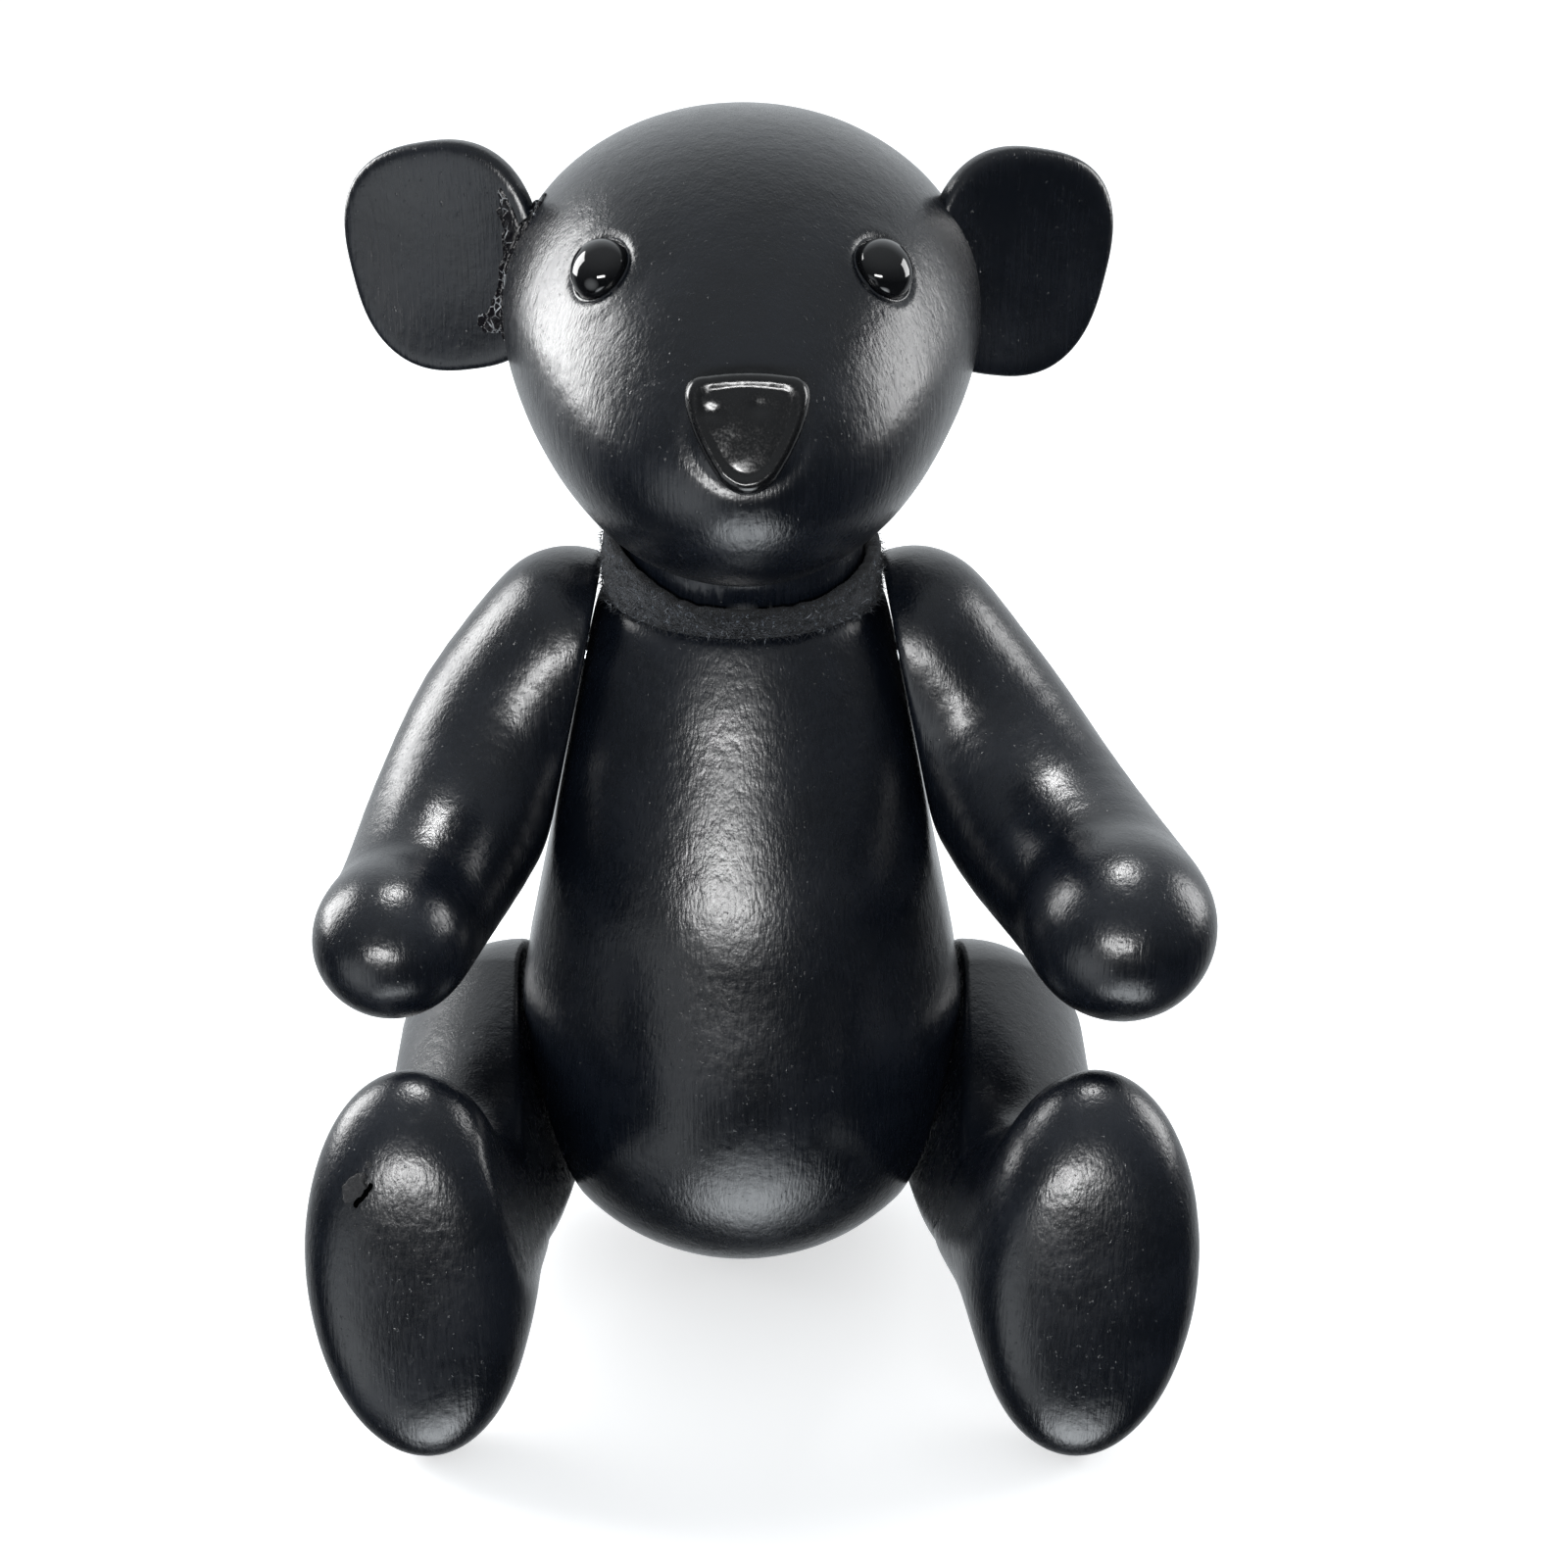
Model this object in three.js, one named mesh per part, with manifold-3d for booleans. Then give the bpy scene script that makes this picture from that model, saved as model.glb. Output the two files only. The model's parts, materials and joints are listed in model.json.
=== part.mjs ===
// Jointed teddy bear, seated: a hollow cast body and head, four solid cast limbs that turn on
// studs, a head that turns on a neck stud, glued ears, and eyes and nose on pushed-in stems.
//
// Millimetres, +Z up. The origin is the middle of the flat seat under the body, on the floor.
// The bear faces -Y, so its own left side is +X.
import * as THREE from "three";
import { ParametricGeometry } from "three/addons/geometries/ParametricGeometry.js";
import { mergeVertices } from "three/addons/utils/BufferGeometryUtils.js";
import Module from "manifold-3d";

// ---- driving dimensions ---------------------------------------------------------------------

// Rounded forms are eggs: a middle and three half-widths.
const BODY_TOP = 134; // height of the flat that the neck stands on
const BELLY = { height: 43, half: [44, 42, 46] };
const CHEST = { below_top: 34, back: 3, half: [33.5, 31, 50] };
const BODY_BLEND = 34; // how softly the chest flows into the belly
const TOP_EDGE = 4; // rounding of that flat's edge
const SEAT_EDGE = 2; // rounding round the seat
const BODY_WALL = 4;

const SKULL = { above_body: 50, back: 4, half: [39.5, 36, 32] };
const MUZZLE = { above_body: 37, forward: 31, half: [22, 25, 19.5] };
const HEAD_BLEND = 38;
const HEAD_WALL = 4;
const NECK_RADIUS = 21.2; // the head's own neck, inside the felt collar
const NECK_TALL = 20; // how far above the body the neck reaches, inside the head

// A joint is a flat cut this deep into the body's side. lean is the angle of the flat's outward
// normal above level, and the flat's middle is the joint's own middle.
const SHOULDER = { below_top: 13, back: 2, cut: 2.38, lean: 12 };
const HIP = { height: 37.6, back: -2, cut: 7.29, lean: -14 };

// Limbs: a run of balls, each with its middle measured from the joint's and its radius, drawn on
// the left side.
const ARM_PATH = [
  [2.7, 0, 3.5, 15.8],
  [14.8, -4, -12, 16.2],
  [22.6, -16, -27, 15.9],
  [27.4, -34, -33.8, 14],
  [29.6, -47, -33, 13.7],
];
const ARM_BLEND = 2.5;
// How much further out and up each paw is held, and how much rounder it is.
const PAW = { left: [6.4, 2.8, 2.2], right: [1.5, 0.4, -0.3] };
const LEG_PATH = [
  [6.6, 0, -1.6, 24.2],
  [13.6, -42, -4.6, 16.5],
];
const FOOT = { at: [18.9, -64, -1.8], half: [19.4, 15, 36], back: 10, out: 1 };
const FOOT_OUT = { left: 3.5, right: 0 };
const LEG_BLEND = 16;
const FOOT_FAN = 48; // how far behind square the rays over the foot begin

const EAR = { half_wide: 18, half_tall: 19, half_thick: 5, squareness: 2.6, dish: 3.2, back: 6 };
const EAR_TILT = 12; // top of the ear leans out
const EAR_OUT = { left: 6.5, right: 10 }; // ear's middle beyond the side of the skull
const EAR_HEIGHT = { left: 56, right: 57 }; // above the body
const EAR_SWEEP = { left: 26, right: 20 }; // outer edge swept back

const EYE = { across: 22, above_body: 64, radius: 4.9, dome: 4.1, rim: 0.8 };
const EYE_LOOK = [0.555, -0.525, 0.645]; // outward direction of the left eye
const EYE_SINK = 0.8;
const NOSE = { above_body: 46, half_wide: 9.8, half_tall: 9.2, corner: 3.2, thick: 6.4, edge: 2 };
const NOSE_LOOK = [0, -0.92, 0.39];
const NOSE_SINK = 2.6;
const STEM_RADIUS = 1.7;
const PAD_RADIUS = 6.2; // thickened spots inside the head, behind the eyes and the nose
const PAD_DEPTH = 5.6;
const CATCH = { radius: 5.2, thick: 1.2, past: 1.5 }; // push-on washer, and stem beyond it

const COLLAR = { thick: 3, tall: 9.5 }; // felt strip round the foot of the neck

// Joint hardware, out from the body's flat along the joint's own axis.
const STUD_RADIUS = 3;
const FELT = { radius: 11, thick: 1 };
const LIMB_BOSS = { radius: 9, depth: 8 };
const BUSH = { sleeve: 4.7, flange: 7.5, flange_thick: 1.2 };
const WASHER = { radius: 7, thick: 1.2 };
const DISC_SPRING = { radius: 6.6, thick: 0.8, rise: 1.6 };
const NUT = { across_flats: 10, thick: 5 };
const STUD_PAST_NUT = 1;
const INSERT = { radius: 5, length: 9 };
const NECK_BOSS = { radius: 11, depth: 5.5 };
const NECK_DISC = { radius: 18, thick: 1.2 };
const PLUG = { radius: 15, thick: 11, lift: 0.5 };
const SEAT_PLUG = { radius: 12, lip: 13.2, lip_thick: 1.4, depth: 6, taper: 0.6 };

const SEATED = 0.3; // gap left between pieces that sit on each other
const RUNNING = 0.2; // radial gap where one turns in another

// ---- materials ------------------------------------------------------------------------------

const finish = (color, roughness, metalness = 0) =>
  new THREE.MeshStandardMaterial({ color, roughness, metalness });
const LACQUER = finish("#17191d", 0.36);
const GLOSS = finish("#08080a", 0.08);
const FELT_BLACK = finish("#1c1c1f", 0.95);
const NYLON = finish("#d8d4c6", 0.5);
const STEEL = finish("#a9adb0", 0.35, 1);
const SPRING_STEEL = finish("#5d6166", 0.4, 1);
const BRASS = finish("#b9924a", 0.35, 1);
const BEECH = finish("#b98a5a", 0.65);
const RUBBER = finish("#141414", 0.8);

// ---- rounded forms --------------------------------------------------------------------------
// A form is a function of a point that is below zero inside and above zero outside, near enough
// the distance to the surface in millimetres.

const vec = (a) => new THREE.Vector3(a[0], a[1], a[2]);

function egg({ at, half }, turn = new THREE.Matrix3()) {
  const middle = vec(at);
  const back = turn.clone().transpose();
  const h = vec(half);
  return (p) => {
    const q = p.clone().sub(middle).applyMatrix3(back);
    const near = q.clone().divide(h);
    const slope = near.clone().divide(h).length();
    const far = near.length();
    return slope < 1e-9 ? -Math.min(h.x, h.y, h.z) : (far * (far - 1)) / slope;
  };
}

function taper(from, to) {
  const a = vec(from);
  const run = vec(to).sub(a);
  const length2 = run.lengthSq();
  return (p) => {
    const q = p.clone().sub(a);
    const t = THREE.MathUtils.clamp(q.dot(run) / length2, 0, 1);
    return q.addScaledVector(run, -t).length() - THREE.MathUtils.lerp(from[3], to[3], t);
  };
}

const softMin = (a, b, k) => {
  const h = Math.max(k - Math.abs(a - b), 0) / k;
  return Math.min(a, b) - (h * h * k) / 4;
};
const softMax = (a, b, k) => -softMin(-a, -b, k);
const joined = (k, ...forms) => (p) => forms.map((f) => f(p)).reduce((a, b) => softMin(a, b, k));
const grown = (form, by) => (p) => form(p) - by;
const bent = (path, k) => joined(k, ...path.slice(1).map((to, i) => taper(path[i], to)));

function bodyForm(p) {
  const plain = softMin(belly(p), chest(p), BODY_BLEND);
  return softMax(softMax(plain, p.z - BODY_TOP, TOP_EDGE), -p.z, SEAT_EDGE);
}
const belly = egg({ at: [0, 0, BELLY.height], half: BELLY.half });
const chest = egg({ at: [0, CHEST.back, BODY_TOP - CHEST.below_top], half: CHEST.half });

// How far out the body's side is at a height, straight out from the middle.
function sideOf(y, z) {
  let near = 0;
  let far = 100;
  for (let i = 0; i < 30; i++) {
    const x = (near + far) / 2;
    if (bodyForm(new THREE.Vector3(x, y, z)) < 0) near = x;
    else far = x;
  }
  return near;
}

const HEAD_FOOT = BODY_TOP + 2 * SEATED + NECK_DISC.thick;
const skull = egg({ at: [0, SKULL.back, BODY_TOP + SKULL.above_body], half: SKULL.half });
const muzzleAt = [0, -MUZZLE.forward, BODY_TOP + MUZZLE.above_body];
const muzzle = egg({ at: muzzleAt, half: MUZZLE.half });
const headForm = joined(HEAD_BLEND, skull, muzzle);

// The skin of a form: rays fan over the start of a spine, stand square off it, and fan over its
// end. Each ray is followed out to where the form's value is zero. A foot stands across the end
// of its leg: there the spine stops short, at the ankle, and the last fan spreads from the foot's
// middle, starting the given angle behind square. gather draws the rays together above and below.
function skin(form, spine, around, along, { reach = 90, foot = null, gather = 0 } = {}) {
  const pts = spine.map(vec);
  const runs = pts.slice(1).map((p, i) => p.distanceTo(pts[i]));
  const total = runs.reduce((a, b) => a + b, 0);
  const firstFan = 0.28;
  const lastFan = foot ? 0.5 : 0.3;
  const place = (s) => {
    let i = 0;
    let left = s;
    while (i < runs.length - 1 && left > runs[i]) left -= runs[i++];
    return pts[i].clone().lerp(pts[i + 1], THREE.MathUtils.clamp(left / runs[i], 0, 1));
  };
  const heading = (s) => {
    const d = total * 0.12;
    return place(Math.min(s + d, total)).sub(place(Math.max(s - d, 0))).normalize();
  };
  const surface = (u, v, target) => {
    const s = THREE.MathUtils.clamp((v - firstFan) / (1 - firstFan - lastFan), 0, 1) * total;
    const last = (v - 1 + lastFan) / lastFan;
    let tip = 0;
    if (v < firstFan) tip = (-Math.PI / 2) * (1 - v / firstFan);
    if (last > 0) tip = THREE.MathUtils.lerp(foot ? -foot.behind : 0, Math.PI / 2, last);
    const ahead = heading(s);
    const side = new THREE.Vector3(1, 0, 0).addScaledVector(ahead, -ahead.x).normalize();
    const up = ahead.clone().cross(side);
    const even = u * 2 * Math.PI;
    const turn = even + gather * Math.sin(2 * even);
    const ray = side.multiplyScalar(Math.cos(turn)).addScaledVector(up, Math.sin(turn));
    const pole = v < 1e-9 || v > 1 - 1e-9;
    ray.multiplyScalar(pole ? 0 : Math.cos(tip)).addScaledVector(ahead, Math.sin(tip));
    const from = foot && last > 0 ? foot.at.clone() : place(s);
    let near = 0;
    let far = reach;
    for (let i = 0; i < 24; i++) {
      const mid = (near + far) / 2;
      if (form(from.clone().addScaledVector(ray, mid)) < 0) near = mid;
      else far = mid;
    }
    target.copy(from).addScaledVector(ray, near);
  };
  return new ParametricGeometry(surface, around, along);
}

// ---- joining and cutting --------------------------------------------------------------------

const wasm = await Module();
wasm.setup();

function toSolid(geometry) {
  const bare = geometry.clone();
  bare.deleteAttribute("normal");
  bare.deleteAttribute("uv");
  const m = mergeVertices(bare, 1e-4);
  const corner = m.index.array;
  const faces = [];
  for (let i = 0; i < corner.length; i += 3) {
    const [a, b, c] = [corner[i], corner[i + 1], corner[i + 2]];
    if (a !== b && b !== c && a !== c) faces.push(a, b, c);
  }
  return new wasm.Manifold(
    new wasm.Mesh({
      numProp: 3,
      vertProperties: new Float32Array(m.attributes.position.array),
      triVerts: new Uint32Array(faces),
    }),
  );
}

function toGeometry(solid) {
  const mesh = solid.getMesh();
  const g = new THREE.BufferGeometry();
  g.setAttribute("position", new THREE.BufferAttribute(mesh.vertProperties, 3));
  g.setIndex(new THREE.BufferAttribute(mesh.triVerts, 1));
  const flat = g.toNonIndexed();
  flat.computeVertexNormals();
  return flat;
}

// ---- turned pieces, all along their own Z ---------------------------------------------------

const ROUND = 12; // sides of small hardware

function turned(profile, sides = ROUND) {
  const pts = profile.map(([r, z]) => new THREE.Vector2(r, z));
  return new THREE.LatheGeometry(pts, sides).rotateX(Math.PI / 2);
}
const rod = (radius, z0, z1, sides = ROUND) =>
  turned([[0, z0], [radius, z0], [radius, z1], [0, z1]], sides);
const ring = (inner, outer, z0, z1, sides = ROUND) =>
  turned([[inner, z0], [outer, z0], [outer, z1], [inner, z1], [inner, z0]], sides);

function hexNut(acrossFlats, bore, z0, z1) {
  const shape = new THREE.Shape();
  for (let i = 0; i < 6; i++) {
    const a = (i * Math.PI) / 3;
    const r = acrossFlats / Math.sqrt(3);
    shape[i ? "lineTo" : "moveTo"](r * Math.cos(a), r * Math.sin(a));
  }
  shape.closePath();
  shape.holes.push(new THREE.Path().absarc(0, 0, bore, 0, 2 * Math.PI, true));
  const settings = { depth: z1 - z0, bevelEnabled: false, curveSegments: 6 };
  return new THREE.ExtrudeGeometry(shape, settings).translate(0, 0, z0);
}

// The matrix that puts a piece's own Z along a direction, its own X as level as can be.
function standing(at, direction) {
  const z = vec(direction).normalize();
  const x = new THREE.Vector3(0, 0, 1).cross(z);
  if (x.lengthSq() < 1e-6) x.set(1, 0, 0);
  x.normalize();
  const y = z.clone().cross(x);
  return new THREE.Matrix4().makeBasis(x, y, z).setPosition(vec(at));
}

const teddy = new THREE.Group();
teddy.name = "jointed_teddy_bear";

function add(name, geometry, material, matrix) {
  const mesh = new THREE.Mesh(geometry, material);
  mesh.name = name;
  if (matrix) mesh.applyMatrix4(matrix);
  teddy.add(mesh);
}

const SIDES = { left: 1, right: -1 };
const mirrored = (a, side) => [a[0] * SIDES[side], ...a.slice(1)];
const normalOf = ({ lean }) => {
  const t = THREE.MathUtils.degToRad(lean);
  return [Math.cos(t), 0, Math.sin(t)];
};

function jointAt({ back, cut }, height) {
  return [sideOf(back, height) - cut, back, height];
}
const SHOULDER_AT = jointAt(SHOULDER, BODY_TOP - SHOULDER.below_top);
const HIP_AT = jointAt(HIP, HIP.height);
const JOINTS = {
  arm_left: { ...SHOULDER, at: SHOULDER_AT, side: "left" },
  arm_right: { ...SHOULDER, at: SHOULDER_AT, side: "right" },
  leg_left: { ...HIP, at: HIP_AT, side: "left" },
  leg_right: { ...HIP, at: HIP_AT, side: "right" },
};
for (const j of Object.values(JOINTS))
  j.frame = standing(mirrored(j.at, j.side), mirrored(normalOf(j), j.side));
const NECK_FRAME = standing([0, 0, BODY_TOP], [0, 0, 1]);

// Everything beyond a joint's flat, as one big block that starts at the given height.
function beyond(frame, from, size = 200) {
  const block = new THREE.BoxGeometry(size, size, size).translate(0, 0, from + size / 2);
  return toSolid(block.applyMatrix4(frame));
}
function below(frame, from, size = 200) {
  const block = new THREE.BoxGeometry(size, size, size).translate(0, 0, from - size / 2);
  return toSolid(block.applyMatrix4(frame));
}
const placed = (geometry, frame) => toSolid(geometry.applyMatrix4(frame));

// ---- the body -------------------------------------------------------------------------------

const BODY_SPINE = [[0, 0, BELLY.height - 3], [0, 1, BODY_TOP - CHEST.below_top - 2]];
const BUSH_BORE = BUSH.sleeve + SEATED;
const SEAT_BORE = SEAT_PLUG.radius + SEATED;

let body = toSolid(skin(bodyForm, BODY_SPINE, 28, 26));
for (const j of Object.values(JOINTS)) body = body.subtract(beyond(j.frame, 0));
const bodyOutside = body;
let hollow = toSolid(skin(grown(bodyForm, -BODY_WALL), BODY_SPINE, 14, 12));
for (const j of Object.values(JOINTS)) hollow = hollow.subtract(beyond(j.frame, -BODY_WALL));
body = body.subtract(hollow);
for (const j of Object.values(JOINTS)) {
  const boss = placed(rod(LIMB_BOSS.radius, -LIMB_BOSS.depth, -0.5), j.frame);
  body = body.add(boss.intersect(bodyOutside));
}
const neckBoss = placed(rod(NECK_BOSS.radius, -NECK_BOSS.depth, -0.5), NECK_FRAME);
body = body.add(neckBoss.intersect(bodyOutside));
const HARDWARE_ROOM = BUSH.flange + 2 * SEATED;
const HARDWARE_LENGTH =
  BUSH.flange_thick +
  WASHER.thick +
  DISC_SPRING.thick +
  DISC_SPRING.rise +
  NUT.thick +
  STUD_PAST_NUT +
  5 * SEATED +
  1;
function boreFor(frame, depth) {
  const behind = placed(rod(HARDWARE_ROOM, -depth - HARDWARE_LENGTH, -depth), frame);
  return placed(rod(BUSH_BORE, -depth - 1, 2), frame).add(behind);
}
for (const j of Object.values(JOINTS)) body = body.subtract(boreFor(j.frame, LIMB_BOSS.depth));
body = body.subtract(boreFor(NECK_FRAME, NECK_BOSS.depth));
const seatCut = turned(
  [
    [0, -1],
    [SEAT_PLUG.lip + SEATED, -1],
    [SEAT_PLUG.lip + SEATED, SEAT_PLUG.lip_thick + SEATED],
    [SEAT_BORE, SEAT_PLUG.lip_thick + SEATED],
    [SEAT_BORE, SEAT_PLUG.depth + BODY_WALL],
    [0, SEAT_PLUG.depth + BODY_WALL],
  ],
  24,
);
body = body.subtract(toSolid(seatCut));
add("torso_shell", toGeometry(body), LACQUER);

const seatPlug = turned(
  [
    [0, 0],
    [SEAT_PLUG.lip, 0],
    [SEAT_PLUG.lip, SEAT_PLUG.lip_thick],
    [SEAT_PLUG.radius, SEAT_PLUG.lip_thick],
    [SEAT_PLUG.radius - SEAT_PLUG.taper, SEAT_PLUG.depth],
    [0, SEAT_PLUG.depth],
  ],
  24,
);
add("seat_plug", seatPlug, RUBBER);

// ---- joint hardware -------------------------------------------------------------------------
// Heights along a joint's axis: the body's flat is 0, the limb is above, the hollow is below.

const LIMB_FACE = 0.4; // a limb's flat stands this far off the body's
const FELT_FLOOR = 2 * SEATED + FELT.thick; // floor of the pocket that holds a limb's felt
const SPRING_BORE = STUD_RADIUS + SEATED;

function hardware(name, frame, depth, insertFoot) {
  let z = -depth - SEATED;
  const bush = turned([
    [STUD_RADIUS + RUNNING, -SEATED],
    [STUD_RADIUS + RUNNING, z - BUSH.flange_thick],
    [BUSH.flange, z - BUSH.flange_thick],
    [BUSH.flange, z],
    [BUSH.sleeve, z],
    [BUSH.sleeve, -SEATED],
    [STUD_RADIUS + RUNNING, -SEATED],
  ]);
  add(name + "_bush", bush, NYLON, frame);
  z -= BUSH.flange_thick + SEATED;
  add(name + "_washer", ring(SPRING_BORE, WASHER.radius, z - WASHER.thick, z), STEEL, frame);
  z -= WASHER.thick + SEATED;
  const { radius, thick, rise } = DISC_SPRING;
  const spring = turned([
    [SPRING_BORE, z - rise - thick],
    [radius, z - thick],
    [radius, z],
    [SPRING_BORE, z - rise],
    [SPRING_BORE, z - rise - thick],
  ]);
  add(name + "_spring", spring, SPRING_STEEL, frame);
  z -= rise + thick + SEATED;
  const nut = hexNut(NUT.across_flats, SPRING_BORE, z - NUT.thick, z);
  add(name + "_nut", nut, STEEL, frame);
  z -= NUT.thick + STUD_PAST_NUT;
  const top = insertFoot + INSERT.length;
  add(name + "_stud", rod(STUD_RADIUS, z, top), STEEL, frame);
  add(name + "_insert", ring(SPRING_BORE, INSERT.radius, insertFoot, top), BRASS, frame);
}

for (const [name, j] of Object.entries(JOINTS)) {
  const inner = STUD_RADIUS + RUNNING + SEATED;
  add(name + "_felt", ring(inner, FELT.radius, SEATED, SEATED + FELT.thick, 16), FELT_BLACK, j.frame);
  hardware(name, j.frame, LIMB_BOSS.depth, FELT_FLOOR + SEATED);
}
const PLUG_FOOT = HEAD_FOOT + PLUG.lift - BODY_TOP; // measured from the body's top flat
hardware("neck", NECK_FRAME, NECK_BOSS.depth, PLUG_FOOT + SEATED);

// ---- limbs ----------------------------------------------------------------------------------

function insertBore(frame, foot) {
  const depth = INSERT.length + 2 * SEATED;
  return placed(rod(INSERT.radius + SEATED, foot - 1, foot + depth), frame);
}

function jointed(limb, frame) {
  const pocket = placed(rod(FELT.radius + SEATED, LIMB_FACE - 1, FELT_FLOOR, 24), frame);
  return limb.subtract(below(frame, LIMB_FACE)).subtract(pocket).subtract(insertBore(frame, FELT_FLOOR));
}

for (const side of ["left", "right"]) {
  const sx = SIDES[side];
  const held = ARM_PATH.map(([x, y, z, r], i) => {
    const share = [0, 0, 0.45, 1, 1][i];
    const [jx, jy, jz] = SHOULDER_AT;
    const [out, up, rounder] = PAW[side].map((more) => share * more);
    return [sx * (jx + x + out), jy + y, jz + z + up, r + rounder];
  });
  const frame = JOINTS["arm_" + side].frame;
  const arm = toSolid(skin(bent(held, ARM_BLEND), held, 18, 22, { reach: 50 }));
  add("arm_" + side, toGeometry(jointed(arm, frame)), LACQUER);
}

for (const side of ["left", "right"]) {
  const sx = SIDES[side];
  const [jx, jy, jz] = HIP_AT;
  const path = LEG_PATH.map(([x, y, z, r]) => [sx * (jx + x), jy + y, jz + z, r]);
  const [fx, fy, fz] = FOOT.at;
  const at = [sx * (jx + fx + FOOT_OUT[side]), jy + fy, jz + fz];
  const back = THREE.MathUtils.degToRad(-FOOT.back);
  const out = THREE.MathUtils.degToRad(sx * FOOT.out);
  const tilt = new THREE.Matrix4().makeRotationX(back);
  tilt.multiply(new THREE.Matrix4().makeRotationY(out));
  const turn = new THREE.Matrix3().setFromMatrix4(tilt);
  const form = joined(LEG_BLEND, bent(path, LEG_BLEND), egg({ at, half: FOOT.half }, turn));
  const frame = JOINTS["leg_" + side].frame;
  const foot = { at: vec(at), behind: THREE.MathUtils.degToRad(FOOT_FAN) };
  const leg = toSolid(skin(form, path, 20, 24, { reach: 60, foot, gather: 0.22 }));
  add("leg_" + side, toGeometry(jointed(leg, frame)), LACQUER);
}

// ---- the head -------------------------------------------------------------------------------

// A point on the head's surface, found straight back from in front of the face.
function onFace(x, z) {
  let near = -120;
  let far = 0;
  for (let i = 0; i < 30; i++) {
    const y = (near + far) / 2;
    if (headForm(new THREE.Vector3(x, y, z)) > 0) near = y;
    else far = y;
  }
  return [x, far, z];
}

const EYES = {
  left: standing(onFace(EYE.across, BODY_TOP + EYE.above_body), EYE_LOOK),
  right: standing(onFace(-EYE.across, BODY_TOP + EYE.above_body), mirrored(EYE_LOOK, "right")),
};
const NOSE_FRAME = standing(onFace(0, BODY_TOP + NOSE.above_body), NOSE_LOOK);

// The nose's outline: a triangle with its point down, its three corners rounded.
function noseShape(extra = 0) {
  const w = NOSE.half_wide + extra;
  const t = NOSE.half_tall + extra;
  const r = NOSE.corner;
  const s = new THREE.Shape();
  s.moveTo(-w + r, t);
  s.quadraticCurveTo(0, t + 0.8, w - r, t);
  s.quadraticCurveTo(w, t, w, t - r);
  s.quadraticCurveTo(w, 0, w * 0.42, -t + r * 0.5);
  s.quadraticCurveTo(0, -t - r * 0.5, -w * 0.42, -t + r * 0.5);
  s.quadraticCurveTo(-w, 0, -w, t - r);
  s.quadraticCurveTo(-w, t, -w + r, t);
  return s;
}
const noseCut = new THREE.ExtrudeGeometry(noseShape(SEATED), {
  depth: 20,
  bevelEnabled: false,
  curveSegments: 4,
}).translate(0, 0, -NOSE_SINK);

const HEAD_SPINE = [[0, 0, BODY_TOP + 46], [0, -20, BODY_TOP + 42]];
const ownNeck = rod(NECK_RADIUS, HEAD_FOOT - BODY_TOP, NECK_TALL, 28);
let head = toSolid(skin(headForm, HEAD_SPINE, 28, 24));
const headOutside = head;
head = head.add(placed(ownNeck, NECK_FRAME));
head = head.subtract(toSolid(skin(grown(headForm, -HEAD_WALL), HEAD_SPINE, 14, 12)));
for (const spot of [EYES.left, EYES.right, NOSE_FRAME]) {
  const pad = placed(rod(PAD_RADIUS, -PAD_DEPTH, -0.5, 12), spot);
  head = head.add(pad.intersect(headOutside));
}
const stemBore = STEM_RADIUS + SEATED;
const CATCH_ROOM = CATCH.radius + 2 * SEATED;
for (const spot of [EYES.left, EYES.right, NOSE_FRAME])
  head = head.subtract(placed(rod(CATCH_ROOM, -PAD_DEPTH - 5, -PAD_DEPTH), spot));
for (const spot of Object.values(EYES)) {
  head = head.subtract(placed(rod(EYE.radius + SEATED, -EYE_SINK, 9, 20), spot));
  head = head.subtract(placed(rod(stemBore, -PAD_DEPTH - 1, 2, 12), spot));
}
head = head.subtract(placed(noseCut, NOSE_FRAME));
head = head.subtract(placed(rod(stemBore, -PAD_DEPTH - 1, 2, 12), NOSE_FRAME));
const PLUG_TOP = PLUG_FOOT + PLUG.thick;
const mouth = rod(PLUG.radius + SEATED, -1, NECK_TALL, 24);
head = head.subtract(placed(mouth, NECK_FRAME));
add("head_shell", toGeometry(head), LACQUER);

const plug = placed(rod(PLUG.radius, PLUG_FOOT, PLUG_TOP, 24), NECK_FRAME);
add("head_plug", toGeometry(plug.subtract(insertBore(NECK_FRAME, PLUG_FOOT))), BEECH);
const discBore = STUD_RADIUS + RUNNING + SEATED;
const neckDisc = ring(discBore, NECK_DISC.radius, SEATED, SEATED + NECK_DISC.thick, 24);
add("neck_disc", neckDisc, NYLON, NECK_FRAME);

const collarInner = NECK_RADIUS + SEATED;
const collarOuter = collarInner + COLLAR.thick;
const nearHead = toSolid(skin(grown(headForm, SEATED), HEAD_SPINE, 28, 24));
const strip = placed(ring(collarInner, collarOuter, SEATED, COLLAR.tall, 28), NECK_FRAME);
add("neck_collar", toGeometry(strip.subtract(nearHead)), FELT_BLACK);

// Eyes and nose are moulded with their stems; a push-on washer inside the head holds each.
const STEM_END = -PAD_DEPTH - SEATED - CATCH.thick - CATCH.past;
const catchRing = () =>
  ring(stemBore, CATCH.radius, STEM_END + CATCH.past, -PAD_DEPTH - SEATED, 12);

for (const side of ["left", "right"]) {
  const foot = -EYE_SINK + SEATED;
  const profile = [[0, STEM_END], [STEM_RADIUS, STEM_END], [STEM_RADIUS, foot], [EYE.radius, foot]];
  for (let i = 0; i <= 4; i++) {
    const a = (i * Math.PI) / 8;
    const r = EYE.radius * Math.cos(a);
    profile.push([i < 4 ? r : 0, foot + EYE.rim + (EYE.dome - EYE.rim) * Math.sin(a)]);
  }
  add("eye_" + side, turned(profile, 16), GLOSS, EYES[side]);
  add("eye_catch_" + side, catchRing(), NYLON, EYES[side]);
}

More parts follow.
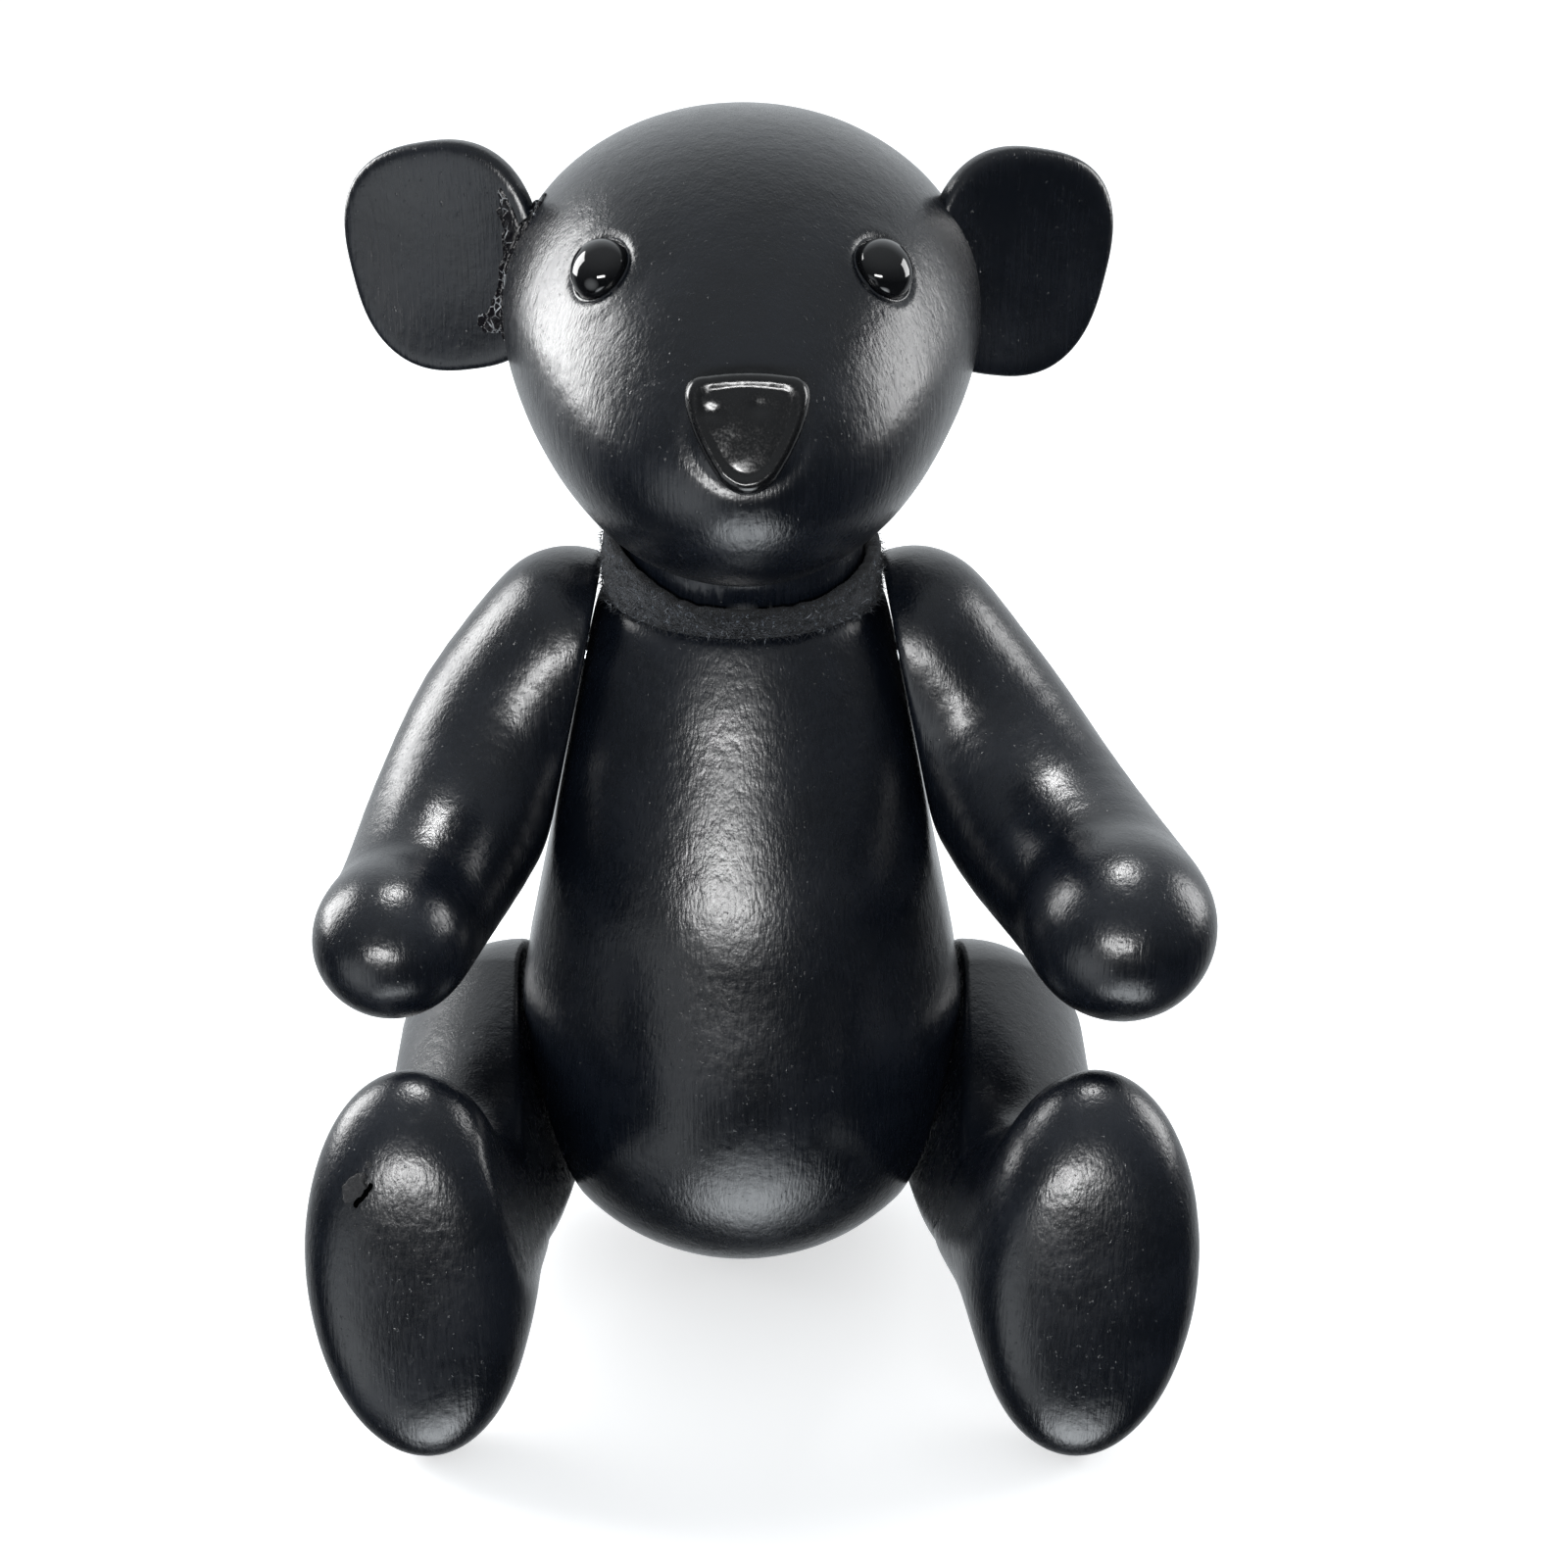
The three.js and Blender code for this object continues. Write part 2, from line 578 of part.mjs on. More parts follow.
const nosePad = new THREE.ExtrudeGeometry(noseShape(-NOSE.edge), {
  depth: NOSE.thick - 2 * NOSE.edge,
  bevelThickness: NOSE.edge,
  bevelSize: NOSE.edge,
  bevelSegments: 2,
  curveSegments: 4,
}).translate(0, 0, NOSE.edge - NOSE_SINK + SEATED);
const noseStem = rod(STEM_RADIUS, STEM_END, 0, 12);
const nose = toSolid(nosePad).add(toSolid(noseStem));
add("nose", toGeometry(nose), GLOSS, NOSE_FRAME);
add("nose_catch", catchRing(), NYLON, NOSE_FRAME);

// ---- ears -----------------------------------------------------------------------------------
// A rounded paddle with a thick rim and a dished front, trimmed to the head's own surface.

function paddle() {
  const { half_wide, half_tall, half_thick, squareness, dish } = EAR;
  const surface = (u, v, target) => {
    const turn = u * 2 * Math.PI;
    const tip = (v - 0.5) * Math.PI;
    const c = Math.cos(turn);
    const s = Math.sin(turn);
    const corner = Math.abs(c) ** squareness + Math.abs(s) ** squareness;
    const out = v < 1e-9 || v > 1 - 1e-9 ? 0 : Math.cos(tip) ** 0.6;
    const reach = out / corner ** (1 / squareness);
    const hollowed = tip > 0 ? dish * (1 - out ** 3) : 0;
    const high = half_thick * Math.sign(tip) * Math.abs(Math.sin(tip)) ** 0.8 - hollowed;
    target.set(half_wide * c * reach, -high, half_tall * s * reach);
  };
  return new ParametricGeometry(surface, 24, 10);
}

for (const side of ["left", "right"]) {
  const sx = SIDES[side];
  const sweep = THREE.MathUtils.degToRad(sx * EAR_SWEEP[side]);
  const tilt = THREE.MathUtils.degToRad(sx * EAR_TILT);
  const frame = new THREE.Matrix4().makeRotationZ(sweep);
  frame.multiply(new THREE.Matrix4().makeRotationY(tilt));
  const at = [SKULL.half[0] + EAR_OUT[side], EAR.back, BODY_TOP + EAR_HEIGHT[side]];
  frame.setPosition(vec(mirrored(at, side)));
  const ear = placed(paddle(), frame).subtract(nearHead);
  add("ear_" + side, toGeometry(ear), LACQUER);
}

export default teddy;
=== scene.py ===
"""Looks of a seated jointed teddy bear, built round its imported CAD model.

Millimetres in the sizes below, metres in every mesh. +Z is up and the bear faces -Y.
"""
import json
import math

import bpy
import numpy as np
from bpy.props import FloatProperty, FloatVectorProperty, IntProperty, PointerProperty, StringProperty
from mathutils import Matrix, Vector


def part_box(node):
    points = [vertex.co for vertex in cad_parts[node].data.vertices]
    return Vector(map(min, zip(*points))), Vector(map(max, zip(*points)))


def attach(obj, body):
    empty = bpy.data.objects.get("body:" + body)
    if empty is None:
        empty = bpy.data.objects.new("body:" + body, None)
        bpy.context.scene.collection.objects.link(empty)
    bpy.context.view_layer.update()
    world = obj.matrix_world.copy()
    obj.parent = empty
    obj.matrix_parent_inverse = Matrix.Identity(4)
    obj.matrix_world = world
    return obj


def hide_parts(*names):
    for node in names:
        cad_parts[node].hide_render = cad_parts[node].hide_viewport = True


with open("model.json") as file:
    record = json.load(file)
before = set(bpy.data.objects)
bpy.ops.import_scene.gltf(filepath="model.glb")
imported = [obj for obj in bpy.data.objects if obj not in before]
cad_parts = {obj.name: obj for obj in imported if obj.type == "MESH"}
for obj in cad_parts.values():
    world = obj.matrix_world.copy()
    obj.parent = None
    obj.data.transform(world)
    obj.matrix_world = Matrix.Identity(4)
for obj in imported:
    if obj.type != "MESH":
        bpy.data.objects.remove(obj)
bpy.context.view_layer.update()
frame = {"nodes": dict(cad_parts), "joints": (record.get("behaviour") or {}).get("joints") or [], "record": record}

bl_info = {
    "name": "Jointed teddy bear",
    "version": (1, 0, 0),
    "blender": (4, 5, 0),
    "location": "3D View > Sidebar > Teddy",
    "description": "Builds a seated jointed teddy bear in hand-finished black lacquer",
    "category": "Add Mesh",
}

MM = 0.001
SIDES = {"left": 1, "right": -1}


def joint_of(name):
    """A joint's middle in mm and its axis turned outwards, as arrays."""
    joint = next(j for j in frame["joints"] if j["name"] == name)
    at = np.array(joint["pos_m"]) / MM
    axis = np.array(joint["axis"], float)
    if at[0] * axis[0] < 0:
        axis = -axis
    return at, axis


BODY_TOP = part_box("torso_shell")[1].z / MM
HEAD_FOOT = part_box("head_shell")[0].z / MM
SHOULDERS = {side: joint_of("shoulder_" + side) for side in SIDES}
HIPS = {side: joint_of("hip_" + side) for side in SIDES}
NECK_RADIUS = 21.2
LIMB_FACE = 0.4  # a limb's flat stands this far off the body's


# ---- sizes and colours that a user may change -----------------------------------------------


def size(name, text, value):
    return FloatProperty(name=name, description=text, default=value, min=0.0)


def triple(name, text, value):
    return FloatVectorProperty(name=name, description=text, default=value, size=3, subtype="XYZ")


def colour(name, text, value):
    return StringProperty(name=name, description=text + ", as an sRGB hex value", default=value)


class TeddyForms(bpy.types.PropertyGroup):
    """Sizes of the rounded forms, in millimetres."""

    belly: triple("Belly", "Half-widths of the belly, mm", (44, 42, 46))
    belly_height: size("Belly height", "Height of the belly's middle, mm", 43)
    chest: triple("Chest", "Half-widths of the chest, mm", (33.5, 31, 50))
    chest_below: size("Chest below top", "Chest's middle below the body's top, mm", 34)
    body_blend: size("Body blend", "How softly the chest flows into the belly, mm", 34)
    skull: triple("Skull", "Half-widths of the skull, mm", (39.5, 36, 32))
    muzzle: triple("Muzzle", "Half-widths of the muzzle, mm", (22, 25, 19.5))
    head_blend: size("Head blend", "How softly the muzzle flows into the skull, mm", 38)
    ear: triple("Ear", "Half-width, half-thickness and half-height of an ear, mm", (18, 5, 19))
    ear_dish: size("Ear dish", "Depth of the hollow in an ear's front, mm", 4.2)
    foot: triple("Foot", "Half-widths of a foot, mm", (19.4, 15, 36))
    eye_radius: size("Eye radius", "Radius of an eye, mm", 4.9)
    unevenness: size("Unevenness", "Height of the hand-sanded unevenness, mm", 0.07)
    fuzz: IntProperty(name="Fuzz", description="Loose fibres on the collar", default=3400, min=0)


class TeddyColours(bpy.types.PropertyGroup):
    """Colours of the finishes."""

    lacquer: colour("Lacquer", "Satin black lacquer", "#05080e")
    lacquer_worn: colour("Rubbed lacquer", "Lacquer where it has been handled", "#0a0e15")
    gloss: colour("Gloss", "Polished black of the eyes and nose", "#050506")
    felt: colour("Felt", "Black wool felt", "#11141a")
    lint: colour("Lint", "Pale lint caught in the felt", "#8d949c")
    glue: colour("Glue", "Dark glue at the mended ear", "#08070a")
    resin: colour("Resin", "Bare resin under a chip", "#222326")
    floor: colour("Floor", "Pale floor", "#f2f3f4")


# ---- forms ----------------------------------------------------------------------------------
# A form takes points as an array and gives, near enough, each one's distance from the surface
# in mm, below zero inside.


def unit(v):
    """v scaled to length one along its last axis."""
    v = np.asarray(v, float)
    return v / np.maximum(np.linalg.norm(v, axis=-1, keepdims=True), 1e-12)


def turn_about(axis, degrees):
    """Rotation matrix about a unit axis, by the cross-product formula."""
    x, y, z = unit(axis)
    cross = np.array([[0, -z, y], [z, 0, -x], [-y, x, 0]])
    t = math.radians(degrees)
    return np.eye(3) + math.sin(t) * cross + (1 - math.cos(t)) * cross @ cross


def egg(p, at, half, turn=None):
    """Distance to an ellipsoid: its level k times k - 1, over the level's slope."""
    q = p - np.asarray(at, float)
    if turn is not None:
        q = q @ turn
    near = q / np.asarray(half, float)
    level = np.linalg.norm(near, axis=-1)
    slope = np.linalg.norm(near / np.asarray(half, float), axis=-1)
    return level * (level - 1) / np.maximum(slope, 1e-9)


def taper(p, a, b):
    """Distance to a ball drawn from a to b, each (x, y, z, radius), its radius changing evenly."""
    start, run = np.array(a[:3]), np.array(b[:3]) - np.array(a[:3])
    t = np.clip((p - start) @ run / (run @ run), 0, 1)
    return np.linalg.norm(p - start - t[..., None] * run, axis=-1) - (a[3] + (b[3] - a[3]) * t)


def soft_min(a, b, k):
    """The lesser of two values, rounded by a parabola where they are within k of each other."""
    h = np.maximum(k - np.abs(a - b), 0) / k
    return np.minimum(a, b) - h * h * k / 4


def soft_max(a, b, k):
    return -soft_min(-a, -b, k)


def bent(p, path, k):
    """Distance to a run of tapers along a path of (x, y, z, radius), softly joined."""
    d = taper(p, path[0], path[1])
    for a, b in zip(path[1:-1], path[2:]):
        d = soft_min(d, taper(p, a, b), k)
    return d


def lumps(p, across, seed):
    """Smooth noise from -1 to 1: a fixed random value at each corner of a lattice of cubes,
    blended along each axis by 3f squared minus 2f cubed."""
    q = np.asarray(p, float) / across + 31.7 + seed * 7.31
    cell = np.floor(q).astype(np.int64)
    f = q - cell
    f = f * f * (3 - 2 * f)
    total = np.zeros(q.shape[:-1])
    for corner in np.ndindex(2, 2, 2):
        c = cell + np.array(corner)
        mix = c[..., 0] * 73856093 ^ c[..., 1] * 19349663 ^ c[..., 2] * 83492791 ^ (seed * 9176)
        mix = (mix ^ (mix >> 13)) * 1274126177
        value = ((mix >> 7) & 0xFFFF) / 32767.5 - 1
        weight = np.prod(np.where(corner, f, 1 - f), axis=-1)
        total += value * weight
    return total


def sanded(p, forms, seed):
    """Unevenness left by hand sanding: broad waves with a finer ripple on them."""
    return forms.unevenness * (lumps(p, 13, seed) + 0.35 * lumps(p, 4.5, seed + 1))


def slope_of(form, p, step=0.05):
    """The way in which a form's value rises fastest, as unit vectors, by central differences."""
    out = np.zeros_like(p)
    for axis in range(3):
        e = np.zeros(3)
        e[axis] = step
        out[..., axis] = form(p + e) - form(p - e)
    return unit(out)


def settle(form, p, lift=0.0):
    """Points moved along the form's slope on to its surface, or lift mm off it."""
    for _ in range(4):
        p = p - slope_of(form, p) * (form(p) - lift)[..., None]
    return p


# ---- grids and meshes -----------------------------------------------------------------------


def smooth(t):
    t = np.clip(t, 0, 1)
    return t * t * (3 - 2 * t)


def skin(form, spine, around, along, reach=95, foot=None, gather=0.0):
    """The skin of a form. Rays fan over the start of a spine, stand square off it, and fan over
    its end; each is followed out by halving to where the form's value is zero. foot = (middle,
    degrees behind square) spreads the last fan from a foot's middle. Rows run along the spine
    and columns round it; the first and last rows are poles."""
    spine = np.asarray(spine, float)[:, :3]
    runs = np.linalg.norm(np.diff(spine, axis=0), axis=1)
    total = runs.sum()
    marks = np.concatenate([[0], np.cumsum(runs)])
    place = lambda s: np.stack([np.interp(s, marks, spine[:, k]) for k in range(3)], -1)
    first, last = 0.28, 0.5 if foot else 0.3
    v = np.linspace(0, 1, along)
    s = np.clip((v - first) / (1 - first - last), 0, 1) * total
    ahead = unit(place(np.minimum(s + total * 0.12, total)) - place(np.maximum(s - total * 0.12, 0)))
    end = (v - 1 + last) / last
    behind = math.radians(foot[1]) if foot else 0.0
    tip = np.where(v < first, -np.pi / 2 * (1 - v / first), 0.0)
    tip = np.where(end > 0, -behind + (np.pi / 2 + behind) * end, tip)
    start = place(s)
    if foot:
        start = np.where((end > 0)[:, None], np.asarray(foot[0], float), start)
    side = unit(np.array([1.0, 0, 0]) - ahead[:, :1] * ahead)
    up = np.cross(ahead, side)
    even = np.linspace(0, 2 * np.pi, around, endpoint=False)
    turn = even + gather * np.sin(2 * even)
    flat = np.cos(turn)[None, :, None] * side[:, None] + np.sin(turn)[None, :, None] * up[:, None]
    ray = np.cos(tip)[:, None, None] * flat + np.sin(tip)[:, None, None] * ahead[:, None]
    near = np.zeros((along, around))
    far = np.full((along, around), float(reach))
    for _ in range(26):
        mid = (near + far) / 2
        inside = form(start[:, None] + mid[..., None] * ray) < 0
        near, far = np.where(inside, mid, near), np.where(inside, far, mid)
    return start[:, None] + near[..., None] * ray


def quads_of(rows, columns, wrap_rows=False, wrap_columns=True):
    """Corner numbers of the quads of a grid whose points are numbered row by row."""
    i = np.arange(rows if wrap_rows else rows - 1)[:, None]
    j = np.arange(columns if wrap_columns else columns - 1)[None, :]
    k, m = (i + 1) % rows, (j + 1) % columns
    quads = [i * columns + j, i * columns + m, k * columns + m, k * columns + j]
    return np.stack(np.broadcast_arrays(*quads), -1).reshape(-1, 4)


def capped(grid):
    """Points and faces of a closed skin: a grid whose first and last rows are single points."""
    rows, columns = grid.shape[:2]
    ring = grid[1:-1].reshape(-1, 3)
    points = np.concatenate([ring, grid[0].mean(0)[None], grid[-1].mean(0)[None]])
    j = np.arange(columns)
    m = (j + 1) % columns
    low, high = len(ring), len(ring) + 1
    top = (rows - 3) * columns
    fan_low = np.stack([m, j, np.full(columns, low)], -1)
    fan_high = np.stack([top + j, top + m, np.full(columns, high)], -1)
    return points, [quads_of(rows - 2, columns), fan_low, fan_high]


def looped(grid):
    """Points and faces of a closed ring: a grid that wraps both ways."""
    rows, columns = grid.shape[:2]
    return grid.reshape(-1, 3), [quads_of(rows, columns, wrap_rows=True)]


def slab(top, bottom):
    """Points and faces of a closed slab between two open grids of one shape, rim included."""
    rows, columns = top.shape[:2]
    count = rows * columns
    upper = quads_of(rows, columns, wrap_columns=False)
    n = np.arange(count).reshape(rows, columns)
    rim = np.concatenate([n[0, :-1], n[:-1, -1], n[-1, :0:-1], n[:0:-1, 0]])
    after = np.roll(rim, -1)
    sides = np.stack([after, rim, rim + count, after + count], -1)
    points = np.concatenate([top.reshape(-1, 3), bottom.reshape(-1, 3)])
    return points, [upper, upper[:, ::-1] + count, sides]


def volume_of(points, faces):
    """Six times the volume inside the faces, from the triple products of their triangles."""
    total = 0.0
    for group in faces:
        a = points[group[:, 0]]
        for k in range(1, group.shape[1] - 1):
            total += (a * np.cross(points[group[:, k]], points[group[:, k + 1]])).sum()
    return total


def put(name, points, faces, material, body, slot_name, marks=None):
    """Makes a mesh piece from points in mm, with its faces pointing out, and gives it its body
    and finish; slot_name is not used. marks are float attributes by name."""
    if volume_of(points, faces) < 0:
        faces = [group[:, ::-1] for group in faces]
    mesh = bpy.data.meshes.new(name)
    mesh.from_pydata((points * MM).tolist(), [], [f for group in faces for f in group.tolist()])
    mesh.polygons.foreach_set("use_smooth", np.ones(len(mesh.polygons), bool))
    for key, values in (marks or {}).items():
        mesh.attributes.new(key, "FLOAT", "POINT").data.foreach_set("value", values.astype(np.float32))
    mesh.update()
    piece = bpy.data.objects.new(name, mesh)
    bpy.context.scene.collection.objects.link(piece)
    mesh.materials.append(material)
    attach(piece, body)
    return piece


def gathered(parts):
    """Points and faces of several (points, faces) pairs as one mesh."""
    points, faces, count = [], [], 0
    for some, groups in parts:
        points.append(some)
        faces += [group + count for group in groups]
        count += len(some)
    return np.concatenate(points), faces


def standing(at, look):
    """(place, matrix) of a piece's own axes: its Z along look, its X level."""
    z = unit(look)
    x = np.cross([0, 0, 1.0], z)
    x = unit(x) if np.linalg.norm(x) > 1e-3 else np.array([1.0, 0, 0])
    return np.asarray(at, float), np.stack([x, np.cross(z, x), z], -1)


def place_in(own, where):
    """Own points turned and moved to where they stand."""
    at, turn = where
    return own @ turn.T + at


def lathe(profile, sides, where):
    """A profile of (radius, height) turned about the own Z axis; its ends lie on the axis."""
    profile = np.asarray(profile, float)
    t = np.linspace(0, 2 * np.pi, sides, endpoint=False)
    grid = np.stack(
        np.broadcast_arrays(
            profile[:, :1] * np.cos(t), profile[:, :1] * np.sin(t), profile[:, 1:] + 0 * t
        ),
        -1,
    )
    return place_in(grid, where)


# ---- the bear's own forms -------------------------------------------------------------------


def torso_form(forms):
    at_chest = [0, 3, BODY_TOP - forms.chest_below]

    def form(p):
        plain = soft_min(
            egg(p, [0, 0, forms.belly_height], forms.belly),
            egg(p, at_chest, forms.chest),
            forms.body_blend,
        )
        front, high = smooth(-p[..., 1] / 26), BODY_TOP - p[..., 2]
        fuller = 2.4 * smooth((36 - high) / 32) - 1.5 * np.exp(-(((high - 48) / 15) ** 2))
        plain = plain + front * fuller
        d = soft_max(plain, p[..., 2] - BODY_TOP, 4) + sanded(p, forms, 1)
        d = soft_max(d, -p[..., 2] + 0.4, 2)
        for at, out in [*SHOULDERS.values(), *HIPS.values()]:
            d = soft_max(d, (p - at) @ out, 1.3)
        return d

    return form


def plain_head(forms):
    """The skull and muzzle without any seats in them."""
    skull_at = [0, 4, BODY_TOP + 50]
    muzzle_at = [0, -31, BODY_TOP + 37]

    def form(p):
        return soft_min(egg(p, skull_at, forms.skull), egg(p, muzzle_at, forms.muzzle), forms.head_blend)

    return form


def on_face(form, x, z):
    """The point of the face at x and z, found by halving straight back from in front."""
    near, far = -120.0, 0.0
    for _ in range(40):
        y = (near + far) / 2
        near, far = (y, far) if form(np.array([x, y, z])) > 0 else (near, y)
    return np.array([x, far, z])


EYE_LOOK = (0.555, -0.525, 0.645)
NOSE_LOOK = (0.0, -0.92, 0.39)
NOSE_ASIDE = 0.8  # the nose sits this far to the bear's left of its seat's middle, mm


def eye_place(forms, side):
    at = on_face(plain_head(forms), SIDES[side] * 22, BODY_TOP + 64)
    return standing(at, [SIDES[side] * EYE_LOOK[0], *EYE_LOOK[1:]])


def nose_place(forms):
    return standing(on_face(plain_head(forms), 0, BODY_TOP + 46), NOSE_LOOK)


def nose_outline(count):
    """Points of the nose's outline, its own X and Y: a triangle with its point down and its
    corners rounded, made of quadratic curves and walked at even steps."""
    w, t, r = 9.2, 8.6, 3.2
    corners = [
        [(-w + r, t), (0, t + 0.9), (w - r, t)],
        [(w - r, t), (w, t), (w, t - r)],
        [(w, t - r), (w - 0.3, 0.5), (w * 0.46, -t + r * 0.62)],
        [(w * 0.46, -t + r * 0.62), (0, -t - r * 0.75), (-w * 0.46, -t + r * 0.62)],
        [(-w * 0.46, -t + r * 0.62), (-w + 0.3, 0.5), (-w, t - r)],
        [(-w, t - r), (-w, t), (-w + r, t)],
    ]
    s = np.linspace(0, 1, 40, endpoint=False)[:, None]
    walk = np.concatenate(
        [(1 - s) ** 2 * a + 2 * s * (1 - s) * b + s * s * c for a, b, c in np.array(corners)]
    )
    closed = np.concatenate([walk, walk[:1]])
    steps = np.concatenate([[0], np.cumsum(np.linalg.norm(np.diff(closed, axis=0), axis=1))])
    even = np.linspace(0, steps[-1], count, endpoint=False)
    own = np.stack([np.interp(even, steps, closed[:, k]) for k in range(2)], -1)
    return own + np.array([NOSE_ASIDE, 0.0])


def head_form(forms):
    """The head on its own round neck, with a shallow seat round each eye and a groove round
    the nose."""
    plain = plain_head(forms)
    eyes = [eye_place(forms, side) for side in SIDES]
    nose_at, nose_turn = nose_place(forms)

    def form(p):
        reach = np.hypot(p[..., 0], p[..., 1]) - NECK_RADIUS
        neck = soft_max(soft_max(reach, HEAD_FOOT - p[..., 2], 0.8), p[..., 2] - BODY_TOP - 18, 2)
        d = soft_min(plain(p) + sanded(p, forms, 5), neck, 4)
        for at, turn in eyes:
            q = (p - at) @ turn
            off = np.hypot(q[..., 0], q[..., 1])
            d = d + 0.5 * np.exp(-(((off - 4.5) / 1.1) ** 2)) * (np.abs(q[..., 2]) < 6)
            d = d - 0.1 * np.exp(-(((off - 6.9) / 1.5) ** 2)) * (np.abs(q[..., 2]) < 8)
        q = (p - nose_at) @ nose_turn
        off = np.hypot((q[..., 0] - NOSE_ASIDE) / 9.0, (q[..., 1] - 0.6) / 8.8)
        d = d + 0.3 * np.exp(-(((off - 0.97) / 0.14) ** 2)) * (np.abs(q[..., 2]) < 8)
        return d

    return form


def arm_path(side):
    """The arm's balls, measured from its joint; each paw is held a little differently."""
    own = [
        (2.7, 0, 3.5, 15.8),
        (14.8, -4, -12, 16.2),
        (22.6, -16, -27, 15.9),
        (27.4, -34, -33.8, 14),
        (29.6, -47, -33, 13.7),
    ]
    out, up, rounder = {"left": (6.4, 2.8, 2.2), "right": (1.5, 0.4, -0.3)}[side]
    x, y, z = SHOULDERS["left"][0]
    return [
        (SIDES[side] * (x + a + k * out), y + b, z + c + k * up, r + k * rounder)
        for (a, b, c, r), k in zip(own, [0, 0, 0.45, 1, 1])
    ]


def eased(path, steps=4):
    """A path's balls with more set between them, on the Catmull-Rom curve through them."""
    p = np.array([path[0], *path, path[-1]], float)
    a, b, c, d = (part[:, None] for part in (p[:-3], p[1:-2], p[2:-1], p[3:]))
    t = np.linspace(0, 1, steps, endpoint=False)[:, None]
    curve = b + 0.5 * ((c - a) * t + (2 * a - 5 * b + 4 * c - d) * t**2 + (3 * (b - c) + d - a) * t**3)
    return [*curve.reshape(-1, 4), p[-1]]


def arm_form(forms, side):
    path = eased(arm_path(side))
    at, out = SHOULDERS[side]

    def form(p):
        d = bent(p, path, 1.0) + sanded(p, forms, 11 + SIDES[side])
        return soft_max(d, LIMB_FACE - (p - at) @ out, 1.2)

    return form


def leg_path(side):
    own = [(6.6, 0, -1.6, 24.2), (13.6, -42, -4.6, 16.5)]
    x, y, z = HIPS["left"][0]
    return [(SIDES[side] * (x + a), y + b, z + c, r) for a, b, c, r in own]


def foot_place(side):
    x, y, z = HIPS["left"][0]
    sx = SIDES[side]
    at = np.array([sx * (x + 18.9 + {"left": 3.5, "right": 0}[side]), y - 64, z - 1.8])
    return at, turn_about([1, 0, 0], -10) @ turn_about([0, 1, 0], sx * 1)


DENTS = {  # (place on the sole, how wide, how deep), mm
    "left": [
        ((62.3, -79.1, 43.4), 1.1, 0.5),
        ((49.6, -80.4, 36.2), 1.3, 0.45),
        ((58.2, -79.8, 42.2), 0.7, 0.25),
    ],
    "right": [((-53.0, -81.4, 34.9), 0.6, 0.25), ((-54.1, -67.7, 68.0), 0.9, 0.3)],
}


def leg_form(forms, side):
    path = leg_path(side)
    foot_at, foot_turn = foot_place(side)
    at, out = HIPS[side]

    def form(p):
        front = -((p - foot_at) @ foot_turn)[..., 1]
        sole = soft_max(egg(p, foot_at, forms.foot, foot_turn), front - forms.foot[1] + 2.2, 5)
        d = soft_min(taper(p, path[0], path[1]), sole, 16)
        d = d + sanded(p, forms, 21 + SIDES[side])
        for dent, wide, deep in DENTS[side]:
            d = d + deep * np.exp(-((np.linalg.norm(p - np.array(dent), axis=-1) / wide) ** 2))
        return soft_max(d, LIMB_FACE - (p - at) @ out, 1.2)

    return form


def ear_place(side):
    sx = SIDES[side]
    out, height, sweep = {"left": (6.5, 56, 26), "right": (10, 57, 20)}[side]
    turn = turn_about([0, 0, 1], sx * sweep) @ turn_about([0, 1, 0], sx * 12)
    return np.array([sx * (39.5 + out), 6, BODY_TOP + height]), turn


def ear_front(forms, x, z):
    """How far forward an ear's front stands at its own x and z: a rounded rim with the middle
    hollowed by the cube of the distance from the edge."""
    wide, thick, tall = forms.ear
    out = (np.abs(x / wide) ** 2.6 + np.abs(z / tall) ** 2.6) ** (1 / 2.6)
    out = np.minimum(out, 1)
    rim = np.sqrt(np.maximum(1 - out ** (2 / 0.6), 0)) ** 0.8
    return thick * rim - forms.ear_dish * (1 - out**3)


def ear_grid(forms, side, around=220, along=110):
    """An ear's skin: a paddle whose outline is a squarish oval, thick at the rim and hollowed
    in front. Points deep inside the head are drawn back to just under its surface."""
    wide, thick, tall = forms.ear
    turn = np.linspace(0, 2 * np.pi, around, endpoint=False)[None, :]
    tip = (np.linspace(0, 1, along)[:, None] - 0.5) * np.pi
    c, s = np.cos(turn), np.sin(turn)
    out = np.maximum(np.cos(tip), 0) ** 0.6
    reach = out / (np.abs(c) ** 2.6 + np.abs(s) ** 2.6) ** (1 / 2.6)
    hollow = np.where(tip > 0, forms.ear_dish * (1 - out**3), 0)
    high = thick * np.sign(tip) * np.abs(np.sin(tip)) ** 0.8 - hollow
    own = np.stack(np.broadcast_arrays(wide * c * reach, -high, tall * s * reach), -1)
    grid = place_in(own, ear_place(side))
    head = plain_head(forms)
    depth = head(grid)
    pull = np.where(depth < -2.2, -2.2 - depth, 0)
    grid = grid + slope_of(head, grid) * pull[..., None]
    wave = forms.unevenness * lumps(grid, 9, 31 + SIDES[side])
    return grid + wave[..., None] * unit(grid - ear_place(side)[0])


def on_circle(radius, t, high=0.0):
    """Points (radius cos t, radius sin t, high), for numbers or arrays of each."""
    return np.stack(np.broadcast_arrays(radius * np.cos(t), radius * np.sin(t), high), -1)


# ---- materials ------------------------------------------------------------------------------


def linear(hex_colour):
    """An sRGB hex colour as linear RGBA."""
    s = np.array([int(hex_colour[i : i + 2], 16) / 255 for i in (1, 3, 5)])
    return (*np.where(s <= 0.04045, s / 12.92, ((s + 0.055) / 1.055) ** 2.4).tolist(), 1.0)


def per_mm(across):
    """The scale of a pattern whose features are this many millimetres across."""
    return 1 / (across * MM)


